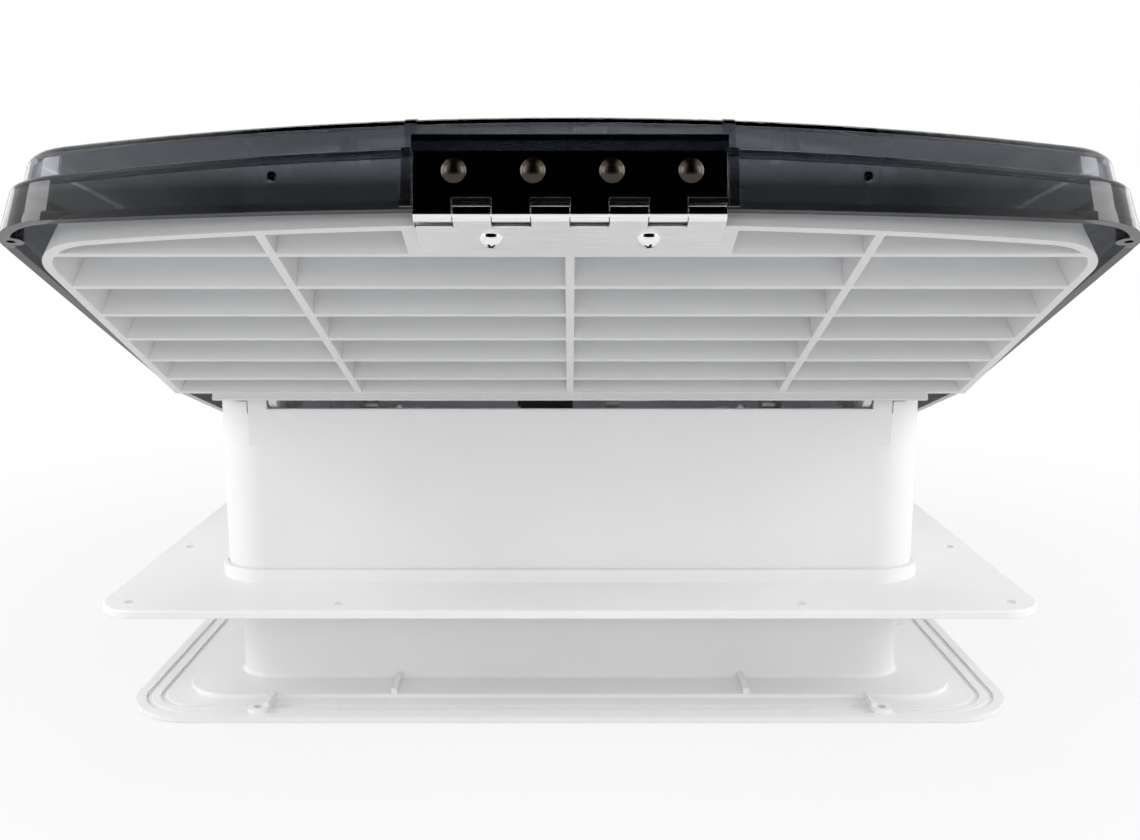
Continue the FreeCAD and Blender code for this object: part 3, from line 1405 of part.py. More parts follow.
def make_lift_bracket_screws():
    z = spider_z + spider_thick + drive_bracket_thick
    length = spider_thick + drive_bracket_thick
    screw = domed_screw(screw_head_radius, screw_head_height, screw_radius, length)
    return Part.makeCompound([placed(screw, V(x, y, z)) for x, y in drive_screw_places()])


# Insect screen and controls

def make_screen_frame():
    frame = rounded_plate(-screen_half, screen_half, -screen_half, screen_front, screen_corner,
                          screen_under, platform_under)
    inside = rounded_plate(-screen_half + screen_bar, screen_half - screen_bar,
                           -screen_half + screen_bar, screen_front - screen_bar, screen_corner / 2,
                           screen_under - overcut, platform_under + overcut)
    ribs = []
    middle = (screen_front - screen_half) / 2
    half = screen_rib_width / 2
    for place in (-screen_rib_place, screen_rib_place):
        ribs.append(block(place - half, place + half,
                          -screen_half + screen_bar / 2, screen_front - screen_bar / 2,
                          screen_under, platform_under))
        ribs.append(block(-screen_half + screen_bar / 2, screen_half - screen_bar / 2,
                          middle + place - half, middle + place + half, screen_under, platform_under))
    return fused([frame.cut(inside)] + ribs)


def make_screen_mesh():
    gap = seat_gap
    return rounded_plate(-garnish_opening_half + gap, garnish_opening_half - gap, -garnish_opening_half + gap,
                         garnish_opening_front - gap, garnish_opening_corner - gap,
                         platform_under, platform_under + mesh_thick)


def make_screen_latch(x, y):
    top = screen_under - seat_gap / 3
    knob = rod(latch_knob_radius, platform_under - seat_gap - top + latch_thick, V(x, y, top - latch_thick))
    toward = -math.copysign(1, x)
    tab = block(min(x, x + toward * latch_tab_length), max(x, x + toward * latch_tab_length),
                y - latch_tab_width / 2, y + latch_tab_width / 2, top - latch_thick, top)
    post = rod(latch_post_radius, platform_top - top, V(x, y, top))
    return fused([knob, tab, post])


def make_control_bezel():
    y = button_places()[0][1]
    plate = rounded_plate(-bezel_half_length, bezel_half_length, y - bezel_width / 2, y + bezel_width / 2,
                          bezel_corner, platform_under - bezel_thick, platform_under)
    holes = [rod(button_radius + seat_gap, 2 * overcut, V(x, by, platform_under - overcut))
             for x, by in button_places()]
    return without(plate, holes)


def make_control_board():
    y = button_places()[0][1]
    z0 = platform_top + board_standoff
    return block(-bezel_half_length, bezel_half_length, y - bezel_width / 2 + board_rib_width / 2,
                 y + bezel_width / 2 - board_rib_width / 2, z0, z0 + board_thick)


def make_control_button(x, y):
    z0 = platform_under - bezel_thick - button_proud
    cap = rod(button_radius, button_cap_thick, V(x, y, z0))
    face = [e for e in cap.Edges if abs(e.BoundBox.ZMax - z0) < seat_gap / 3 and e.Length > button_radius]
    cap = cap.makeFillet(button_proud, face)
    stem_top = platform_top + board_standoff - button_travel - 2 * running_fit
    stem = rod(button_stem_radius, stem_top - z0 - button_cap_thick / 2, V(x, y, z0 + button_cap_thick / 2))
    return cap.fuse(stem).removeSplitter()


def pair(name, shape):
    """Right-hand piece and its mirror image as two nodes."""
    return {name + "_right": shape, name + "_left": mirrored(shape)}


def build():
    nodes = {
        "roof_flange": make_roof_flange(),
        "ceiling_garnish": make_ceiling_garnish(),
        "fan_housing": make_fan_housing(),
        "fan_shroud": make_fan_shroud(),
        "motor_spider": make_motor_spider(),
        "spider_screws": make_spider_screws(),
        "motor_can": make_motor_can(),
        "motor_end_cap": make_motor_end_cap(),
        "motor_magnets": make_motor_magnets(),
        "motor_screws": make_motor_screws(),
        "motor_armature": make_motor_armature(),
        "motor_shaft": make_motor_shaft(),
        "fan_impeller": make_fan_impeller(),
        "fan_nut": make_fan_nut(),
        "lid_shell": make_lid_shell(),
        "hinge_lid_leaf": make_hinge_lid_leaf(),
        "hinge_rivets": make_hinge_rivets(),
        "hinge_louvre_leaf": make_hinge_louvre_leaf(),
        "hinge_pin": make_hinge_pin(),
        "hinge_screws": make_hinge_screws(),
        "louvre_panel": make_louvre_panel(),
        "lift_shaft": make_lift_shaft(),
        "lift_sector": make_lift_sector(),
        "lift_pinion": make_lift_pinion(),
        "lift_gearbox": make_lift_gearbox(),
        "lift_motor_can": make_lift_motor_can(),
        "lift_motor_bracket": make_lift_motor_bracket(),
        "lift_bracket_screws": make_lift_bracket_screws(),
        "lid_bracket_screws": make_lid_bracket_screws(),
        "screen_frame": make_screen_frame(),
        "screen_mesh": make_screen_mesh(),
        "control_bezel": make_control_bezel(),
        "control_board": make_control_board(),
    }
    nodes.update(pair("lid_pivot_pin", make_lid_pivot_pin()))
    nodes.update(pair("louvre_pin", make_louvre_pin()))
    nodes.update(pair("shaft_bearing", make_shaft_bearing()))
    nodes.update(pair("lift_arm", make_lift_arm()))
    nodes.update(pair("lift_peg", make_lift_peg()))
    nodes.update(pair("lid_bracket", make_lid_bracket()))
    latch_names = ("left_rear", "left_front", "right_rear", "right_front")
    for name, (x, y) in zip(latch_names, latch_places()):
        nodes["screen_latch_" + name] = make_screen_latch(x, y)
    for number, (x, y) in enumerate(button_places(), start=1):
        nodes["control_button_%d" % number] = make_control_button(x, y)
    return nodes


os.makedirs("parts", exist_ok=True)
for node, shape in build().items():
    shape.exportStep("parts/%s.step" % node)
swing = lift_angle(lid_tilt) - lift_angle(0)
print("lid pivot", lid_pivot, "hinge", hinge_open, "louvre pivot", louvre_pivot)
print("lift shaft", lift_shaft, "pinion", pinion_centre)
print("louvre fold ratio", louvre_fold_ratio(), "lift ratio", swing / lid_tilt)
print("louvre angle", math.degrees(louvre_angle), "length", louvre_length, "slats", slat_places())
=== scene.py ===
import itertools
import json
import math

import bmesh
import bpy
from mathutils import Matrix, Vector


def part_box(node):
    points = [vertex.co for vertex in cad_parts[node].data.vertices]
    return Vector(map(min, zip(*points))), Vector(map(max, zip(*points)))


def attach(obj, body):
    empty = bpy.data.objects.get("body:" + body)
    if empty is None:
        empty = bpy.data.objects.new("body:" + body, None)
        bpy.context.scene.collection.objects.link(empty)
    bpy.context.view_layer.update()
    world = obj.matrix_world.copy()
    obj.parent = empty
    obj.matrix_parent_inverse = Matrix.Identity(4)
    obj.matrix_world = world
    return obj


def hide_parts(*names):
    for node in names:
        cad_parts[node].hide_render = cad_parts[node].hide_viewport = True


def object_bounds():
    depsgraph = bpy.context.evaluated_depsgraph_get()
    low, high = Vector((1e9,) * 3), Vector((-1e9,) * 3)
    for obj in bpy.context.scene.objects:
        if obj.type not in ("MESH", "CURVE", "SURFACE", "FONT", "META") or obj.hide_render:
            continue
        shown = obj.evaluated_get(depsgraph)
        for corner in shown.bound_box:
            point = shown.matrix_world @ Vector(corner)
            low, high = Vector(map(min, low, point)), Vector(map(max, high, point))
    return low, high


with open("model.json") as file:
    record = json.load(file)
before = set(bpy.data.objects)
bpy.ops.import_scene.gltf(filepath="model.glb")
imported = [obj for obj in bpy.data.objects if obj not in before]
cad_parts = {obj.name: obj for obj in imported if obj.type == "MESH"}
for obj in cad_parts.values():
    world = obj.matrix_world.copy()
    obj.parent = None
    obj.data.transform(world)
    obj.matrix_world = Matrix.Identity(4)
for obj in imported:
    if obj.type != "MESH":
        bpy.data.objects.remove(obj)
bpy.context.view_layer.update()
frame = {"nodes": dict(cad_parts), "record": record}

WHITE = (1.0, 1.0, 1.0, 1.0)
BLACK = (0.0, 0.0, 0.0, 1.0)

# Photograph and camera
IMAGE_WIDTH = 1140
FOCAL_PIXELS = 1202.3
SENSOR_WIDTH = 36.0
CAMERA_PLACE = (0.0, -0.7752, 0.1835)
CAMERA_PITCH_DEG = 9.133

# Studio, with the floor's fade to white over a distance and a card's fade towards its ends
WORLD_LIGHT = 0.15
FLOOR_GAP = 0.0005
FLOOR_RADIUS = 6.0
FLOOR_SIDES = 96
FLOOR_COLOR = (0.66, 0.66, 0.66, 1.0)
FLOOR_ROUGHNESS = 0.6
FLOOR_FADE = (0.28, 0.75)
FLOOR_WHITE = (0.8, 1.0)
CARD_FADE = (0.5, 0.3)

# Directions of the louvre panel's face and of the lid at rest
LOUVRE_ANGLE = math.radians(25.27138)
LID_ANGLE = math.radians(11.0)
UP = Vector((0, 0, 1))
PANEL_OUT = Vector((0, -math.sin(LOUVRE_ANGLE), -math.cos(LOUVRE_ANGLE)))
LID_UP = Vector((0, math.sin(LID_ANGLE), math.cos(LID_ANGLE)))

# Edge rounding seen by the shaders
SOFT_EDGE = 0.0005
FINE_EDGE = 0.00025
POLISHED_EDGE = 0.00005

# Noise: its levels of detail, and the part of its range that a colour ramp spans
PLAIN_DETAIL = 2.0
RICH_DETAIL = 4.0
RAMP_START = 0.35
RAMP_END = 0.65

# Moulded plastic: colours vary by a share, roughness by what is added to it
PLASTIC_IOR = 1.5
MOTTLE_SCALE = 9.0
MOTTLE_TONES = (0.98, 1.02)
GRAIN_SCALE = 900.0
GRAIN_GLOSS = (-0.05, 0.07)
GRAIN_BUMP = 0.25
GRAIN_DEPTH = 0.00004

# Bare metal: drawn grain with colours and roughness that vary by a share, and painted shade in recesses
DRAWN_SCALE = 60.0
DRAWN_STRETCH = (1.0, 40.0, 40.0)
DRAWN_TONES = (0.92, 1.04)
DRAWN_GLOSS = (0.8, 1.25)
DRAWN_BUMP = 0.15
DRAWN_DEPTH = 0.00002
PAINTED_SHADE_REACH = 0.003
PAINTED_SHADE_SAMPLES = 6

# Enamel and powder coat
PEEL_SCALE = 1500.0
PEEL_TONES = (0.8, 1.25)
PEEL_GLOSS = (-0.05, 0.08)
PEEL_BUMP = 0.3
PEEL_DEPTH = 0.00006

# Smoked lid: a faint haze, and heights along its own upright
HAZE_SCALE = 14.0
HAZE_DETAIL = 3.0
HAZE_STRETCH = (0.3, 1.0, 3.0)
HAZE_COLOR = (0.8, 0.8, 0.8, 1.0)
HAZE_BUMP = 0.05
HAZE_DEPTH = 0.0006
SWIRL_SCALE = 60.0
SWIRL_ROUGHNESS = (0.0, 0.06)
SKIRT_DARK_BELOW = 0.124
SKIRT_CLEAR_ABOVE = 0.132
SKIRT_SHARE = 0.25
# Two rear holes in the lid, blacked out with painted shade
HOLE_X = 0.101
HOLE_HEIGHT = 0.1281
HOLE_RADIUS = 0.0016
HOLE_CORE_RADIUS = HOLE_RADIUS * 0.85

# Screws, with shares of the head's radius, the shank's radius and length, and the recess's reach
HEAD_RADIUS = 0.0042
HEAD_HEIGHT = 0.0024
HINGE_HEAD_HEIGHT = 0.0032
HEAD_FOOT_SHARE = 0.97
HEAD_RINGS = 8
SHANK_RADIUS = 0.002
TIP_RADIUS_SHARE = 0.8
TIP_START_SHARE = 0.92
SCREW_SIDES = 40
SCREW_SHARP_DEG = 35
SCREW_TWIST_DEG = 20.0
HINGE_TWIST_DEG = 33.0
RECESS_REACH = HEAD_RADIUS * 0.55
RECESS_DEPTH = 0.0013
RECESS_TAPER_SHARE = 0.55
RECESS_SLOT_SHARE = 0.42
RECESS_CLEARANCE = 0.001
CLUSTER_REACH = 0.012

# Insect mesh of crossed wires
WIRE_PITCH = 0.0015
WIRE_HALF = 0.000075
MESH_CORNER = 0.0157
BOX_FACES = ((0, 1, 3, 2), (4, 6, 7, 5), (0, 4, 5, 1), (2, 3, 7, 6), (0, 2, 6, 4), (1, 5, 7, 3))


def new_material(name):
    """Material with a Principled shader, its node tree and that shader."""
    material = bpy.data.materials.new(name)
    material.use_nodes = True
    tree = material.node_tree
    return material, tree, tree.nodes["Principled BSDF"]


def own_place(tree):
    """Place on a surface in its object's own frame."""
    return tree.nodes.new("ShaderNodeTexCoord").outputs["Object"]


def combine(tree, operation, *values):
    """Result of a Math node that is fed with values."""
    node = tree.nodes.new("ShaderNodeMath")
    node.operation = operation
    for value, socket in zip(values, node.inputs):
        tree.links.new(value, socket)
    return node.outputs[0]


def measure(tree, operation, vector, other=(0.0, 0.0, 0.0)):
    """Number that a Vector Math node finds from a vector and a fixed one."""
    node = tree.nodes.new("ShaderNodeVectorMath")
    node.operation = operation
    node.inputs[1].default_value = other
    tree.links.new(vector, node.inputs[0])
    return node.outputs["Value"]


def sideways(tree, place):
    """Distance of a place from the plane between left and right."""
    parts = tree.nodes.new("ShaderNodeSeparateXYZ")
    tree.links.new(place, parts.inputs[0])
    return combine(tree, "ABSOLUTE", parts.outputs["X"])


def spread(tree, value, target, source=(0.0, 1.0)):
    """Maps a value from a source range to a target range, held at its ends."""
    node = tree.nodes.new("ShaderNodeMapRange")
    node.inputs["From Min"].default_value = source[0]
    node.inputs["From Max"].default_value = source[1]
    node.inputs["To Min"].default_value = target[0]
    node.inputs["To Max"].default_value = target[1]
    tree.links.new(value, node.inputs["Value"])
    return node.outputs["Result"]


def noise(tree, scale, detail, stretch=(1.0, 1.0, 1.0)):
    """Noise over the part's own frame, in features per metre."""
    mapping = tree.nodes.new("ShaderNodeMapping")
    mapping.inputs["Scale"].default_value = stretch
    texture = tree.nodes.new("ShaderNodeTexNoise")
    texture.inputs["Scale"].default_value = scale
    texture.inputs["Detail"].default_value = detail
    tree.links.new(own_place(tree), mapping.inputs["Vector"])
    tree.links.new(mapping.outputs["Vector"], texture.inputs["Vector"])
    return texture.outputs["Fac"]


def ramp(tree, factor, low, high):
    """Colour ramp between two colours over the middle of a factor."""
    node = tree.nodes.new("ShaderNodeValToRGB")
    node.color_ramp.elements[0].position = RAMP_START
    node.color_ramp.elements[0].color = low
    node.color_ramp.elements[1].position = RAMP_END
    node.color_ramp.elements[1].color = high
    tree.links.new(factor, node.inputs["Fac"])
    return node.outputs["Color"]


def shade(color, share):
    """Opaque colour with every channel scaled by a share."""
    return tuple(channel * share for channel in color) + (1.0,)


def tones(tree, factor, color, shares):
    """Colour that varies with a factor between two shares of itself."""
    return ramp(tree, factor, shade(color, shares[0]), shade(color, shares[1]))


def relief(tree, shader, height, strength, distance, edge):
    """Bump over edges that catch light as slightly rounded ones do."""
    rounding = tree.nodes.new("ShaderNodeBevel")
    rounding.inputs["Radius"].default_value = edge
    node = tree.nodes.new("ShaderNodeBump")
    node.inputs["Strength"].default_value = strength
    node.inputs["Distance"].default_value = distance
    tree.links.new(height, node.inputs["Height"])
    tree.links.new(rounding.outputs["Normal"], node.inputs["Normal"])
    tree.links.new(node.outputs["Normal"], shader.inputs["Normal"])


def moulded(name, color, roughness):
    """Injection-moulded plastic with a faint mottle and a fine moulded grain."""
    material, tree, shader = new_material(name)
    mottle = noise(tree, MOTTLE_SCALE, RICH_DETAIL)
    tree.links.new(tones(tree, mottle, color, MOTTLE_TONES), shader.inputs["Base Color"])
    grain = noise(tree, GRAIN_SCALE, PLAIN_DETAIL)
    gloss = spread(tree, grain, [roughness + step for step in GRAIN_GLOSS])
    tree.links.new(gloss, shader.inputs["Roughness"])
    relief(tree, shader, grain, GRAIN_BUMP, GRAIN_DEPTH, SOFT_EDGE)
    shader.inputs["IOR"].default_value = PLASTIC_IOR
    return material


def metal(name, color, roughness, edge=FINE_EDGE):
    """Bare metal with a drawn grain along X and painted shade that darkens its recesses."""
    material, tree, shader = new_material(name)
    lines = noise(tree, DRAWN_SCALE, RICH_DETAIL, DRAWN_STRETCH)
    # Painted shade: ambient occlusion darkens the base colour in recesses and crevices
    painted_shade = tree.nodes.new("ShaderNodeAmbientOcclusion")
    painted_shade.samples = PAINTED_SHADE_SAMPLES
    painted_shade.only_local = True
    painted_shade.inputs["Distance"].default_value = PAINTED_SHADE_REACH
    tree.links.new(tones(tree, lines, color, DRAWN_TONES), painted_shade.inputs["Color"])
    tree.links.new(painted_shade.outputs["Color"], shader.inputs["Base Color"])
    gloss = spread(tree, lines, [roughness * share for share in DRAWN_GLOSS])
    tree.links.new(gloss, shader.inputs["Roughness"])
    relief(tree, shader, lines, DRAWN_BUMP, DRAWN_DEPTH, edge)
    shader.inputs["Metallic"].default_value = 1.0
    return material


def coated(name, color, roughness):
    """Enamel or powder coat with a fine orange peel."""
    material, tree, shader = new_material(name)
    peel = noise(tree, PEEL_SCALE, PLAIN_DETAIL)
    tree.links.new(tones(tree, peel, color, PEEL_TONES), shader.inputs["Base Color"])
    gloss = spread(tree, peel, [roughness + step for step in PEEL_GLOSS])
    tree.links.new(gloss, shader.inputs["Roughness"])
    relief(tree, shader, peel, PEEL_BUMP, PEEL_DEPTH, FINE_EDGE)
    return material


def lid_clearness_and_hole_shade(tree):
    """Share of light that the lid lets through: less in its skirt, and none at its two rear holes, which
    painted shade blacks out.
    """
    place = own_place(tree)
    height = measure(tree, "DOT_PRODUCT", place, LID_UP)
    skirt = spread(tree, height, (SKIRT_SHARE, 1.0), (SKIRT_DARK_BELOW, SKIRT_CLEAR_ABOVE))
    upright = tree.nodes.new("ShaderNodeCombineXYZ")
    tree.links.new(sideways(tree, place), upright.inputs["X"])
    tree.links.new(height, upright.inputs["Z"])
    # Painted shade: black at the two rear holes, fading over their rim
    away = measure(tree, "DISTANCE", upright.outputs[0], (HOLE_X, 0, HOLE_HEIGHT))
    painted_hole_shade = spread(tree, away, (0.0, 1.0), (HOLE_CORE_RADIUS, HOLE_RADIUS))
    return combine(tree, "MULTIPLY", skirt, painted_hole_shade)


def smoked(name, tint, density):
    """Polished smoked plastic that absorbs light along its path, so that its edges look black."""
    material, tree, shader = new_material(name)
    haze = noise(tree, HAZE_SCALE, HAZE_DETAIL, HAZE_STRETCH)
    # The base colour goes black where the lid lets no light through; at the rear holes this is painted
    # shade
    tone = tree.nodes.new("ShaderNodeMix")
    tone.data_type = "RGBA"
    tone.inputs["A"].default_value = BLACK
    tree.links.new(lid_clearness_and_hole_shade(tree), tone.inputs["Factor"])
    tree.links.new(ramp(tree, haze, HAZE_COLOR, WHITE), tone.inputs["B"])
    tree.links.new(tone.outputs["Result"], shader.inputs["Base Color"])
    swirl = noise(tree, SWIRL_SCALE, PLAIN_DETAIL)
    tree.links.new(spread(tree, swirl, SWIRL_ROUGHNESS), shader.inputs["Roughness"])
    relief(tree, shader, haze, HAZE_BUMP, HAZE_DEPTH, FINE_EDGE)
    shader.inputs["IOR"].default_value = PLASTIC_IOR
    shader.inputs["Transmission Weight"].default_value = 1.0
    smoke = tree.nodes.new("ShaderNodeVolumeAbsorption")
    smoke.inputs["Color"].default_value = tint
    smoke.inputs["Density"].default_value = density
    tree.links.new(smoke.outputs["Volume"], tree.nodes["Material Output"].inputs["Volume"])
    return material


# Finish of each slot: its kind, colour and roughness; for the lid, its tint and density
FINISHES = {
    "flange_white": (moulded, (0.84, 0.84, 0.84), 0.36),
    "housing_white": (moulded, (0.80, 0.80, 0.80), 0.40),
    "garnish_white": (moulded, (0.82, 0.82, 0.82), 0.40),
    "shroud_grey": (moulded, (0.60, 0.60, 0.61), 0.5),
    "fan_dark": (moulded, (0.07, 0.07, 0.08), 0.45),
    "zinc_steel": (metal, (0.66, 0.67, 0.68), 0.32),
    "screw_steel": (metal, (0.55, 0.56, 0.57), 0.3),
    "motor_black": (coated, (0.02, 0.02, 0.022), 0.35),
    "magnet_dark": (coated, (0.08, 0.08, 0.085), 0.7),
    "armature_steel": (metal, (0.36, 0.33, 0.30), 0.5),
    "gearbox_metal": (metal, (0.62, 0.62, 0.63), 0.45),
    "nylon": (moulded, (0.70, 0.69, 0.64), 0.5),
    "smoked_lid": (smoked, (0.04, 0.08, 0.14, 1), 300.0),
    "louvre_grey": (moulded, (0.73, 0.73, 0.73), 0.42),
    "rivet_bronze": (metal, (0.058, 0.051, 0.041), 0.28),
    "hinge_steel": (metal, (0.86, 0.86, 0.86), 0.11, POLISHED_EDGE),
    "screw_chrome": (metal, (0.86, 0.86, 0.87), 0.06, POLISHED_EDGE),
    "mesh_grey": (metal, (0.2, 0.2, 0.21), 0.5),
    "board_green": (coated, (0.02, 0.14, 0.06), 0.4),
    "button_grey": (moulded, (0.28, 0.28, 0.29), 0.6),
}
MATERIALS = {slot: make(slot, *values) for slot, (make, *values) in FINISHES.items()}


def dress_nodes():
    """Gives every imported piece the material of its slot."""
    for subpart in frame["record"]["subparts"]:
        node = frame["nodes"][subpart["node"]]
        node.data.materials.clear()
        node.data.materials.append(MATERIALS[subpart["material_slot"]])


def add_object(name, data):
    """New object in the scene."""
    thing = bpy.data.objects.new(name, data)
    bpy.context.scene.collection.objects.link(thing)
    return thing


def finished_mesh(bm, name):
    """Mesh made from a bmesh, which is freed."""
    mesh = bpy.data.meshes.new(name)
    bm.to_mesh(mesh)
    bm.free()
    return mesh


def add_piece(name, body, slot, mesh, replaced):
    """Makes a mesh a piece that rides on a body, takes a slot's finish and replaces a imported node."""
    piece = add_object(name, mesh)
    mesh.materials.append(MATERIALS[slot])
    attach(piece, body)
    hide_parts(replaced)


def lathe(bm, profile, segments):
    """Solid of revolution about Z from (radius, height) points, closed at both ends on the axis."""
    turns = [2 * math.pi * i / segments for i in range(segments)]
    rings = []
    for radius, height in profile:
        if radius == 0:
            rings.append([bm.verts.new((0, 0, height))])
            continue
        circle = [(radius * math.cos(turn), radius * math.sin(turn), height) for turn in turns]
        rings.append([bm.verts.new(point) for point in circle])
    for low, high in zip(rings, rings[1:]):
        for i in range(segments):
            j = (i + 1) % segments
            corners = [low[i % len(low)], low[j % len(low)], high[j % len(high)], high[i % len(high)]]
            bm.faces.new(list(dict.fromkeys(corners)))


def cross_cutter(top):
    """Tapered cross that cuts a driver recess into a screw's head."""
    bm = bmesh.new()
    for turn in (0, 90):
        made = bmesh.ops.create_cube(bm, size=1.0)["verts"]
        for vert in made:
            upper = vert.co.z > 0
            reach = RECESS_REACH if upper else RECESS_REACH * RECESS_TAPER_SHARE
            height = top + RECESS_CLEARANCE if upper else top - RECESS_DEPTH
            vert.co = Vector((vert.co.x * 2 * reach, vert.co.y * RECESS_REACH * RECESS_SLOT_SHARE, height))
        bmesh.ops.rotate(bm, verts=made, cent=(0, 0, 0), matrix=Matrix.Rotation(math.radians(turn), 3, "Z"))
    return finished_mesh(bm, "cutter")


def screw_blank(shank_length, head):
    """Screw along -Z with a domed head and no recess."""
    dome = (HEAD_RADIUS ** 2 + head ** 2) / (2 * head)
    rise = math.acos((dome - head) / dome)
    profile = [
        (0, -shank_length),
        (SHANK_RADIUS * TIP_RADIUS_SHARE, -shank_length),
        (SHANK_RADIUS, -shank_length * TIP_START_SHARE),
        (SHANK_RADIUS, 0),
        (HEAD_RADIUS * HEAD_FOOT_SHARE, 0),
    ]
    for ring in range(HEAD_RINGS):
        angle = rise * (1 - ring / HEAD_RINGS)
        profile.append((dome * math.sin(angle), head - dome + dome * math.cos(angle)))
    profile.append((0, head))
    bm = bmesh.new()
    lathe(bm, profile, SCREW_SIDES)
    bmesh.ops.recalc_face_normals(bm, faces=bm.faces)
    return finished_mesh(bm, "screw")


def screw_mesh(shank_length, head):
    """Domed screw along -Z with a cross recess."""
    blank = add_object("screw_blank", screw_blank(shank_length, head))
    cutter = add_object("screw_cutter", cross_cutter(head))
    cut = blank.modifiers.new("recess", "BOOLEAN")
    cut.object = cutter
    cut.operation = "DIFFERENCE"
    cut.solver = "EXACT"
    cut.use_self = True
    depsgraph = bpy.context.evaluated_depsgraph_get()
    result = bpy.data.meshes.new_from_object(blank.evaluated_get(depsgraph))
    for helper in (blank, cutter):
        bpy.data.objects.remove(helper)
    return result


def fastener_places(node, axis, head):
    """Seats of the heads of a node's fasteners, which face along an axis, and the shanks' lengths."""
    groups = []
    for vert in frame["nodes"][node].data.vertices:
        flat = vert.co - axis * vert.co.dot(axis)
        for group in groups:
            if (group[0] - flat).length < CLUSTER_REACH:
                group.append(vert.co)
                break
        else:
            groups.append([flat, vert.co])
    places = []
    for group in groups:
        points = group[1:]
        along = [point.dot(axis) for point in points]
        flats = [point - axis * point.dot(axis) for point in points]
        middle = Vector([(min(values) + max(values)) / 2 for values in zip(*flats)])
        seat = max(along) - head
        places.append((middle + axis * seat, seat - min(along)))
    return places


def add_screws(node, body, slot, axis, head=HEAD_HEIGHT, twist_deg=SCREW_TWIST_DEG):
    """Replaces a node of plain screws with screws that have driver recesses."""
    turn = UP.rotation_difference(axis).to_matrix().to_4x4()
    bm = bmesh.new()
    for number, (seat, length) in enumerate(fastener_places(node, axis, head), start=1):
        screw = screw_mesh(length, head)
        twist = Matrix.Rotation(math.radians(twist_deg * number), 4, "Z")
        screw.transform(Matrix.Translation(seat) @ turn @ twist)
        bm.from_mesh(screw)
        bpy.data.meshes.remove(screw)
    mesh = finished_mesh(bm, node + "_detailed")
    mesh.shade_smooth()
    add_piece(node + "_detailed", body, slot, mesh, node)
    mesh.set_sharp_from_angle(angle=math.radians(SCREW_SHARP_DEG))


def wire_box(bm, low, high):
    """Square wire between two opposite corners."""
    corners = [bm.verts.new(corner) for corner in itertools.product(*zip(low, high))]
    for ids in BOX_FACES:
        bm.faces.new([corners[i] for i in ids])


def trimmed_span(place, low, high, across_low, across_high):
    """Ends of a wire at a place across the sheet, shortened by the sheet's rounded corners."""
    margin = min(place - across_low, across_high - place)
    cut = 0.0
    if margin < MESH_CORNER:
        cut = MESH_CORNER - math.sqrt(MESH_CORNER ** 2 - (MESH_CORNER - margin) ** 2)
    return low + cut, high - cut


def add_insect_mesh():
    """Replaces the thin sheet of the insect screen with two layers of crossed wires."""
    low, high = (Vector(corner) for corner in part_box("screen_mesh"))
    middle = (low.z + high.z) / 2
    bm = bmesh.new()
    for axis, other in ((0, 1), (1, 0)):
        count = int((high[axis] - low[axis]) / WIRE_PITCH)
        start = (low[axis] + high[axis] - (count - 1) * WIRE_PITCH) / 2
        level = middle - WIRE_HALF if axis == 0 else middle + WIRE_HALF
        for i in range(count):
            place = start + i * WIRE_PITCH
            first = [0.0, 0.0, level - WIRE_HALF]
            last = [0.0, 0.0, level + WIRE_HALF]
            first[axis] = place - WIRE_HALF
            last[axis] = place + WIRE_HALF
            first[other], last[other] = trimmed_span(place, low[other], high[other], low[axis], high[axis])
            wire_box(bm, first, last)
    mesh = finished_mesh(bm, "insect_mesh_wires")
    add_piece("insect_mesh_wires", "base", "mesh_grey", mesh, "screen_mesh")


def add_camera():
    """Camera at the photograph's place and angle."""
    data = bpy.data.cameras.new("camera")
    data.sensor_width = SENSOR_WIDTH
    data.lens = FOCAL_PIXELS / IMAGE_WIDTH * SENSOR_WIDTH
    camera = add_object("camera", data)
    camera.location = CAMERA_PLACE
    camera.rotation_euler = (math.radians(90 - CAMERA_PITCH_DEG), 0, 0)
    bpy.context.scene.camera = camera


def facing(place, target, axis):
    """Rotation that points an object's axis from its place to a target."""
    return (Vector(target) - Vector(place)).to_track_quat(axis, "Y").to_euler()


def add_lamp(name, place, target, size, power, mirrored=True):
    """Soft box; mirrored says whether glossy surfaces show it."""
    data = bpy.data.lights.new(name, "AREA")
    data.shape = "RECTANGLE"
    data.size, data.size_y = size
    data.energy = power
    lamp = add_object(name, data)
    lamp.location = place
    lamp.rotation_euler = facing(place, target, "-Z")
    lamp.visible_glossy = mirrored


def add_lamp_pair(suffix, place, target, size, power, mirrored=True):
    """Soft boxes on the left and right, from the place and target of the right one."""
    for side, sign in (("left", -1), ("right", 1)):
        side_place = (sign * place[0], *place[1:])
        side_target = (sign * target[0], *target[1:])
        add_lamp(side + suffix, side_place, side_target, size, power, mirrored)


def seen_rays(tree):
    """Factor that is 1 for camera, glossy and transmission rays."""
    path = tree.nodes.new("ShaderNodeLightPath")
    seen = path.outputs["Is Camera Ray"]
    for name in ("Is Glossy Ray", "Is Transmission Ray"):
        seen = combine(tree, "MAXIMUM", seen, path.outputs[name])
    return seen


def mix_shaders(tree, factor, first, second, output):
    """Links an output's surface to two shaders, mixed by a factor."""
    mix = tree.nodes.new("ShaderNodeMixShader")
    tree.links.new(factor, mix.inputs["Fac"])
    tree.links.new(first.outputs[0], mix.inputs[1])
    tree.links.new(second.outputs[0], mix.inputs[2])
    tree.links.new(mix.outputs[0], tree.nodes[output].inputs["Surface"])


def add_world():
    """World that lights the object faintly and looks white."""
    world = bpy.data.worlds.new("studio")
    bpy.context.scene.world = world
    world.use_nodes = True
    tree = world.node_tree
    light = tree.nodes["Background"]
    light.inputs["Color"].default_value = WHITE
    light.inputs["Strength"].default_value = WORLD_LIGHT
    sight = tree.nodes.new("ShaderNodeBackground")
    sight.inputs["Color"].default_value = WHITE
    mix_shaders(tree, seen_rays(tree), light, sight, "World Output")


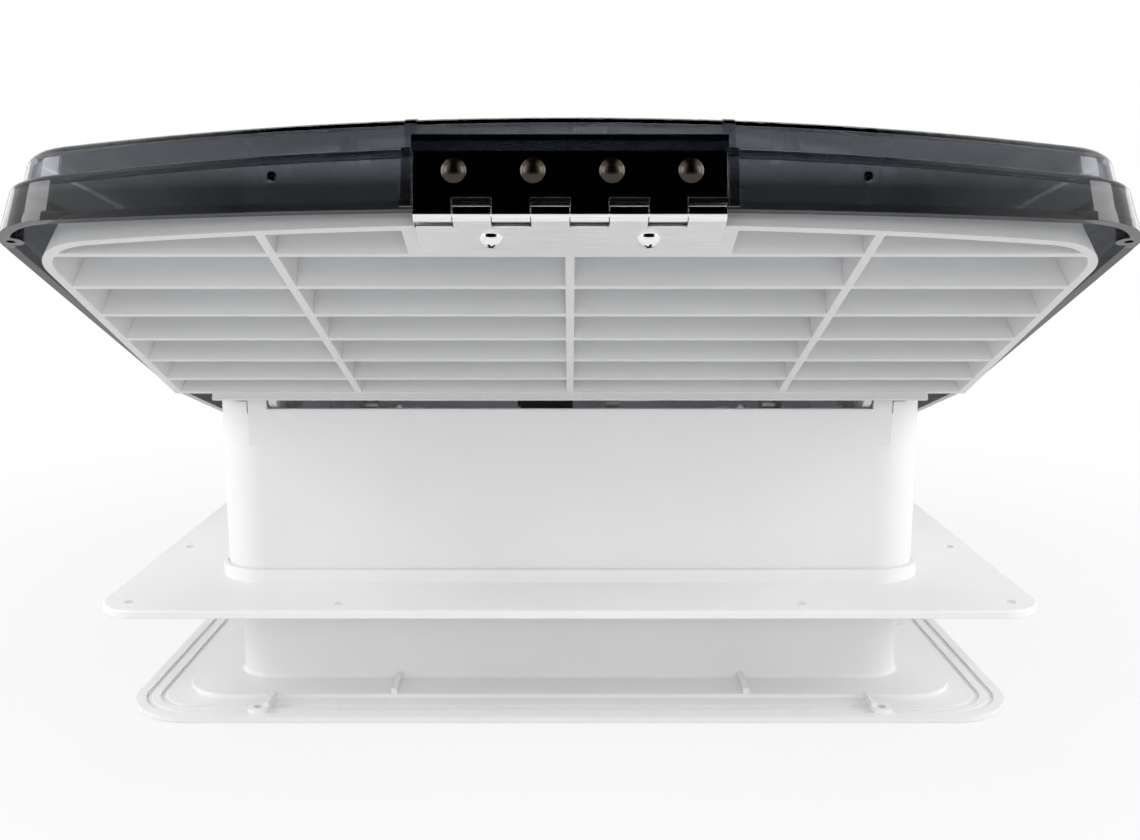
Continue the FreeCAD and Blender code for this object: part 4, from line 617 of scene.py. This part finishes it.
def floor_material():
    """Pale floor that shows the object's shadow nearby and fades to plain white."""
    material, tree, shader = new_material("floor")
    shader.inputs["Base Color"].default_value = FLOOR_COLOR
    shader.inputs["Roughness"].default_value = FLOOR_ROUGHNESS
    glow = tree.nodes.new("ShaderNodeEmission")
    glow.inputs["Color"].default_value = WHITE
    distance = measure(tree, "LENGTH", own_place(tree))
    share = combine(tree, "MULTIPLY", seen_rays(tree), spread(tree, distance, FLOOR_WHITE, FLOOR_FADE))
    mix_shaders(tree, share, shader, glow, "Material Output")
    return material


def add_floor():
    """Round floor just below the object."""
    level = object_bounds()[0][2] - FLOOR_GAP
    bpy.ops.mesh.primitive_circle_add(
        vertices=FLOOR_SIDES, radius=FLOOR_RADIUS, fill_type="NGON", location=(0, 0, level)
    )
    floor = bpy.context.object
    floor.name = "floor"
    floor.data.materials.append(floor_material())


def card_material(name):
    """Dull black with soft left and right ends."""
    material, tree, shader = new_material(name)
    shader.inputs["Base Color"].default_value = BLACK
    shader.inputs["Roughness"].default_value = 1.0
    shader.inputs["Specular IOR Level"].default_value = 0.0
    fade = spread(tree, sideways(tree, own_place(tree)), (0.0, 1.0), CARD_FADE)
    tree.links.new(fade, shader.inputs["Alpha"])
    return material


def add_flag(name, place, target, size):
    """Black studio card that only glossy surfaces show."""
    bpy.ops.mesh.primitive_plane_add(size=1.0, location=place)
    card = bpy.context.object
    card.name = name
    card.scale = (*size, 1.0)
    card.rotation_euler = facing(place, target, "Z")
    card.data.materials.append(card_material(name))
    card.visible_camera = False
    card.visible_diffuse = False
    card.visible_transmission = False
    card.visible_shadow = False


dress_nodes()
add_screws("hinge_screws", "louvre", "screw_chrome", PANEL_OUT, HINGE_HEAD_HEIGHT, HINGE_TWIST_DEG)
add_screws("spider_screws", "base", "screw_steel", UP)
add_screws("motor_screws", "base", "screw_steel", UP)
add_screws("lift_bracket_screws", "base", "screw_steel", UP)
add_screws("lid_bracket_screws", "lid", "screw_steel", -LID_UP)
add_insect_mesh()
add_camera()
add_world()
add_floor()
add_lamp("top", (0.0, -0.2, 1.7), (0, 0, 0), (1.6, 1.6), 5, False)
add_lamp("top_rear", (0.0, -1.5, 1.9), (0, -0.2, 0), (2.0, 1.4), 10, False)
add_lamp_pair("", (1.65, -0.78, 0.7), (0, 0, 0.08), (0.75, 1.2), 11)
add_lamp_pair("_high", (1.8, -0.4, 1.25), (0, -0.1, 0), (1.2, 1.0), 16, False)
add_lamp_pair("_edge", (1.5, 0.5, 0.3), (0.2, -0.3, 0.15), (0.9, 0.55), 2.5)
add_lamp("rear", (0.0, -1.9, 0.35), (0, 0, 0.05), (1.2, 0.9), 5, False)
add_lamp("rear_high", (0.0, -1.7, 0.8), (0, -0.1, 0), (1.6, 0.8), 5, False)
add_lamp("front", (0.0, 1.7, 1.0), (0, 0, 0.1), (1.4, 1.0), 9, False)
add_flag("flag_behind", (0, -2.6, 1.25), (0, 0, 0.2), (4.6, 3.0))
add_flag("flag_low", (0, -1.25, 0.16), (0, 0, 0.16), (2.6, 0.42))
add_flag("flag_above", (0, -0.2, 2.6), (0, -0.2, 0), (3.2, 3.8))
bpy.context.scene.view_settings.view_transform = "Standard"
